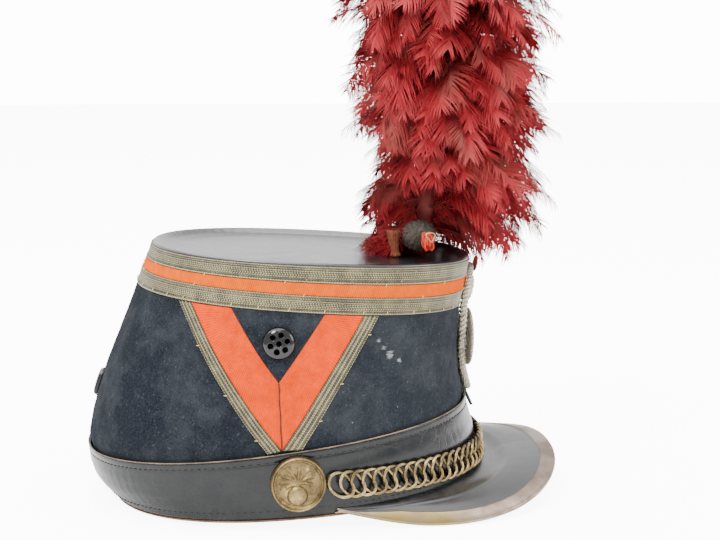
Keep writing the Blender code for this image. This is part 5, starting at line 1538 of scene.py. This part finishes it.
class SHAKO_OT_front_trim(bpy.types.Operator):
    """Build the plaited cord, its knot, the cockade, the leaf and the small tab"""

    bl_idname = "shako.front_trim"
    bl_label = "Front cord and cockade"

    def execute(self, context):
        cord = silver_cord()
        green = plain_finish("verdigris_painted_metal", "23362a", "0d140f", 400.0, 0.5, 0.2)
        make_piece("front_cord_plait", front_cord_shape(), cord, ("front_cord",))
        make_piece("cord_knot_plait", knot_shape(), cord, ("cord_knot",))
        make_piece("cockade_cord", cockade_shape(), cord, ("cockade",))
        make_piece("cord_tongue_leaf", tongue_shape(), green, ("cord_tongue",))
        make_piece("front_tab_pad", tab_shape(), green, ("front_tab",))
        return {"FINISHED"}


class SHAKO_OT_plume(bpy.types.Operator):
    """Build the feather plume, tier by tier, round its core"""

    bl_idname = "shako.plume"
    bl_label = "Feather plume"

    def execute(self, context):
        finish = dyed_feather(context.scene.shako_colours.feather)
        seed = context.scene.shako_sizes.feather_seed
        make_piece("plume_core", core_shape(), finish, ("plume_feathers",))
        for index, tier in enumerate(TIERS):
            feathers = feather_shapes(tier, seed + index)
            make_piece(f"plume_tier_{index + 1}", feathers, finish, closed=False)
        make_piece("plume_fluff", fluff_shape(), finish)
        return {"FINISHED"}


class SHAKO_OT_plume_foot(bpy.types.Operator):
    """Build the woolly bulb, the stem and the cord end at the plume's foot"""

    bl_idname = "shako.plume_foot"
    bl_label = "Plume foot"

    def execute(self, context):
        wool = plain_finish("grey_brown_wool", "4f463c", "1c1815", 700.0, 0.95)
        stem = plain_finish("orange_thread_stem", "7a3c14", "431c0a", 600.0, 0.8)
        cord = plain_finish("scarlet_cord", "dc3a14", "8c1608", 800.0, 0.6)
        wire = plain_finish("pale_wire", "e2c489", "a8854e", 600.0, 0.4, 0.8)
        make_piece("plume_bulb_wool", bulb_shape(), wool, ("plume_bulb",))
        make_piece("plume_stem_thread", stem_shape(), stem, ("plume_stem",))
        bead, loop = bead_shapes()
        make_piece("plume_bead_cord", bead, cord, ("plume_bead",))
        make_piece("plume_bead_wire", loop, wire)
        return {"FINISHED"}


class SHAKO_OT_stage(bpy.types.Operator):
    """Build the floor, the lights and the camera"""

    bl_idname = "shako.stage"
    bl_label = "Floor, lights and camera"

    def execute(self, context):
        scene = context.scene
        floor = bpy.data.objects.new("floor", bpy.data.meshes.new("floor"))
        corners = [(x * FLOOR_SIDE, y * FLOOR_SIDE, 0) for x, y in ((-1, -1), (1, -1), (1, 1), (-1, 1))]
        floor.data.from_pydata(corners, [], [(0, 1, 2, 3)])
        paper, tree, shader, _, _ = start_finish("matt_paper", Roughness=0.9, Specular_IOR_Level=0.1)
        shader.inputs["Base Color"].default_value = rgba("f4f4f4")
        shader.inputs["Emission Color"].default_value = (1, 1, 1, 1)
        glow = combine(tree, "MULTIPLY", node(tree, "LightPath").outputs["Is Camera Ray"], FLOOR_GLOW)
        tree.links.new(glow.outputs[0], shader.inputs["Emission Strength"])
        floor.data.materials.append(paper)
        scene.collection.objects.link(floor)

        world = bpy.data.worlds.new("studio")
        world.use_nodes = True
        sky = world.node_tree
        ray = node(sky, "LightPath").outputs
        seen = node(sky, "MapRange", {0: ray["Is Camera Ray"], 3: WORLD_LIGHT, 4: WORLD_SEEN}).outputs[0]
        glossy = node(sky, "MapRange", {0: ray["Is Glossy Ray"], 3: 1.0, 4: WORLD_IN_GLOSS}).outputs[0]
        level = combine(sky, "MULTIPLY", seen, glossy).outputs[0]
        sky.links.new(level, sky.nodes["Background"].inputs["Strength"])
        sky.nodes["Background"].inputs["Color"].default_value = (1, 1, 1, 1)
        scene.world = world

        # Soft boxes: place, aim point, side length in metres, power in watts
        boxes = (("overhead", (0.2, 0.3, 2.0), (0, 0, 0.1), 2.4, 90.0),
                 ("camera_side", (-0.95, 0.75, 1.75), (0, 0, 0.1), 0.5, 34.0),
                 ("front_fill", (-0.5, -1.7, 0.9), (0, 0, 0.12), 0.9, 16.0))
        for name, place, aim, side, power in boxes:
            light = bpy.data.lights.new(name, "AREA")
            light.shape, light.size, light.energy = "SQUARE", side, power
            lamp = bpy.data.objects.new(name, light)
            lamp.location = place
            lamp.rotation_euler = (Vector(aim) - Vector(place)).to_track_quat("-Z", "Y").to_euler()
            scene.collection.objects.link(lamp)

        # Camera on the wearer's right, a little above the crown and turned toward the front
        lens = bpy.data.cameras.new("camera")
        lens.lens, lens.sensor_width = CAMERA_LENS, CAMERA_SENSOR
        camera = bpy.data.objects.new("camera", lens)
        camera.location = Vector(CAP_PLACE) + Vector(CAMERA_PLACE)
        flat = math.cos(CAMERA_DOWN)
        way = Vector((flat * math.cos(CAMERA_TURN), -flat * math.sin(CAMERA_TURN), -math.sin(CAMERA_DOWN)))
        camera.rotation_euler = way.to_track_quat("-Z", "Y").to_euler()
        scene.collection.objects.link(camera)
        scene.camera = camera
        return {"FINISHED"}


class SHAKO_PT_panel(bpy.types.Panel):
    """Buttons that build the pieces, with their sizes and colours"""

    bl_idname = "SHAKO_PT_panel"
    bl_label = "Plumed shako"
    bl_space_type = "VIEW_3D"
    bl_region_type = "UI"
    bl_category = "Shako"

    def draw(self, context):
        layout = self.layout
        for name in ("lace_thread", "stitch_spacing", "tack_spacing", "crack_size", "feather_seed"):
            layout.prop(context.scene.shako_sizes, name)
        for name in ("cloth", "braid", "leather", "feather"):
            layout.prop(context.scene.shako_colours, name)
        for operator in OPERATORS:
            layout.operator(operator.bl_idname)


OPERATORS = (SHAKO_OT_stage, SHAKO_OT_crown, SHAKO_OT_leather, SHAKO_OT_braid, SHAKO_OT_stitches, SHAKO_OT_peak,
             SHAKO_OT_metal, SHAKO_OT_front_trim, SHAKO_OT_plume, SHAKO_OT_plume_foot)
CLASSES = (ShakoSizes, ShakoColours, *OPERATORS, SHAKO_PT_panel)


def register():
    for item in CLASSES:
        bpy.utils.register_class(item)
    bpy.types.Scene.shako_sizes = bpy.props.PointerProperty(type=ShakoSizes)
    bpy.types.Scene.shako_colours = bpy.props.PointerProperty(type=ShakoColours)


def unregister():
    del bpy.types.Scene.shako_colours
    del bpy.types.Scene.shako_sizes
    for item in reversed(CLASSES):
        bpy.utils.unregister_class(item)


def main():
    """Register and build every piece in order."""
    register()
    for operator in OPERATORS:
        space, name = operator.bl_idname.split(".")
        getattr(getattr(bpy.ops, space), name)()


if __name__ == "__main__":
    main()
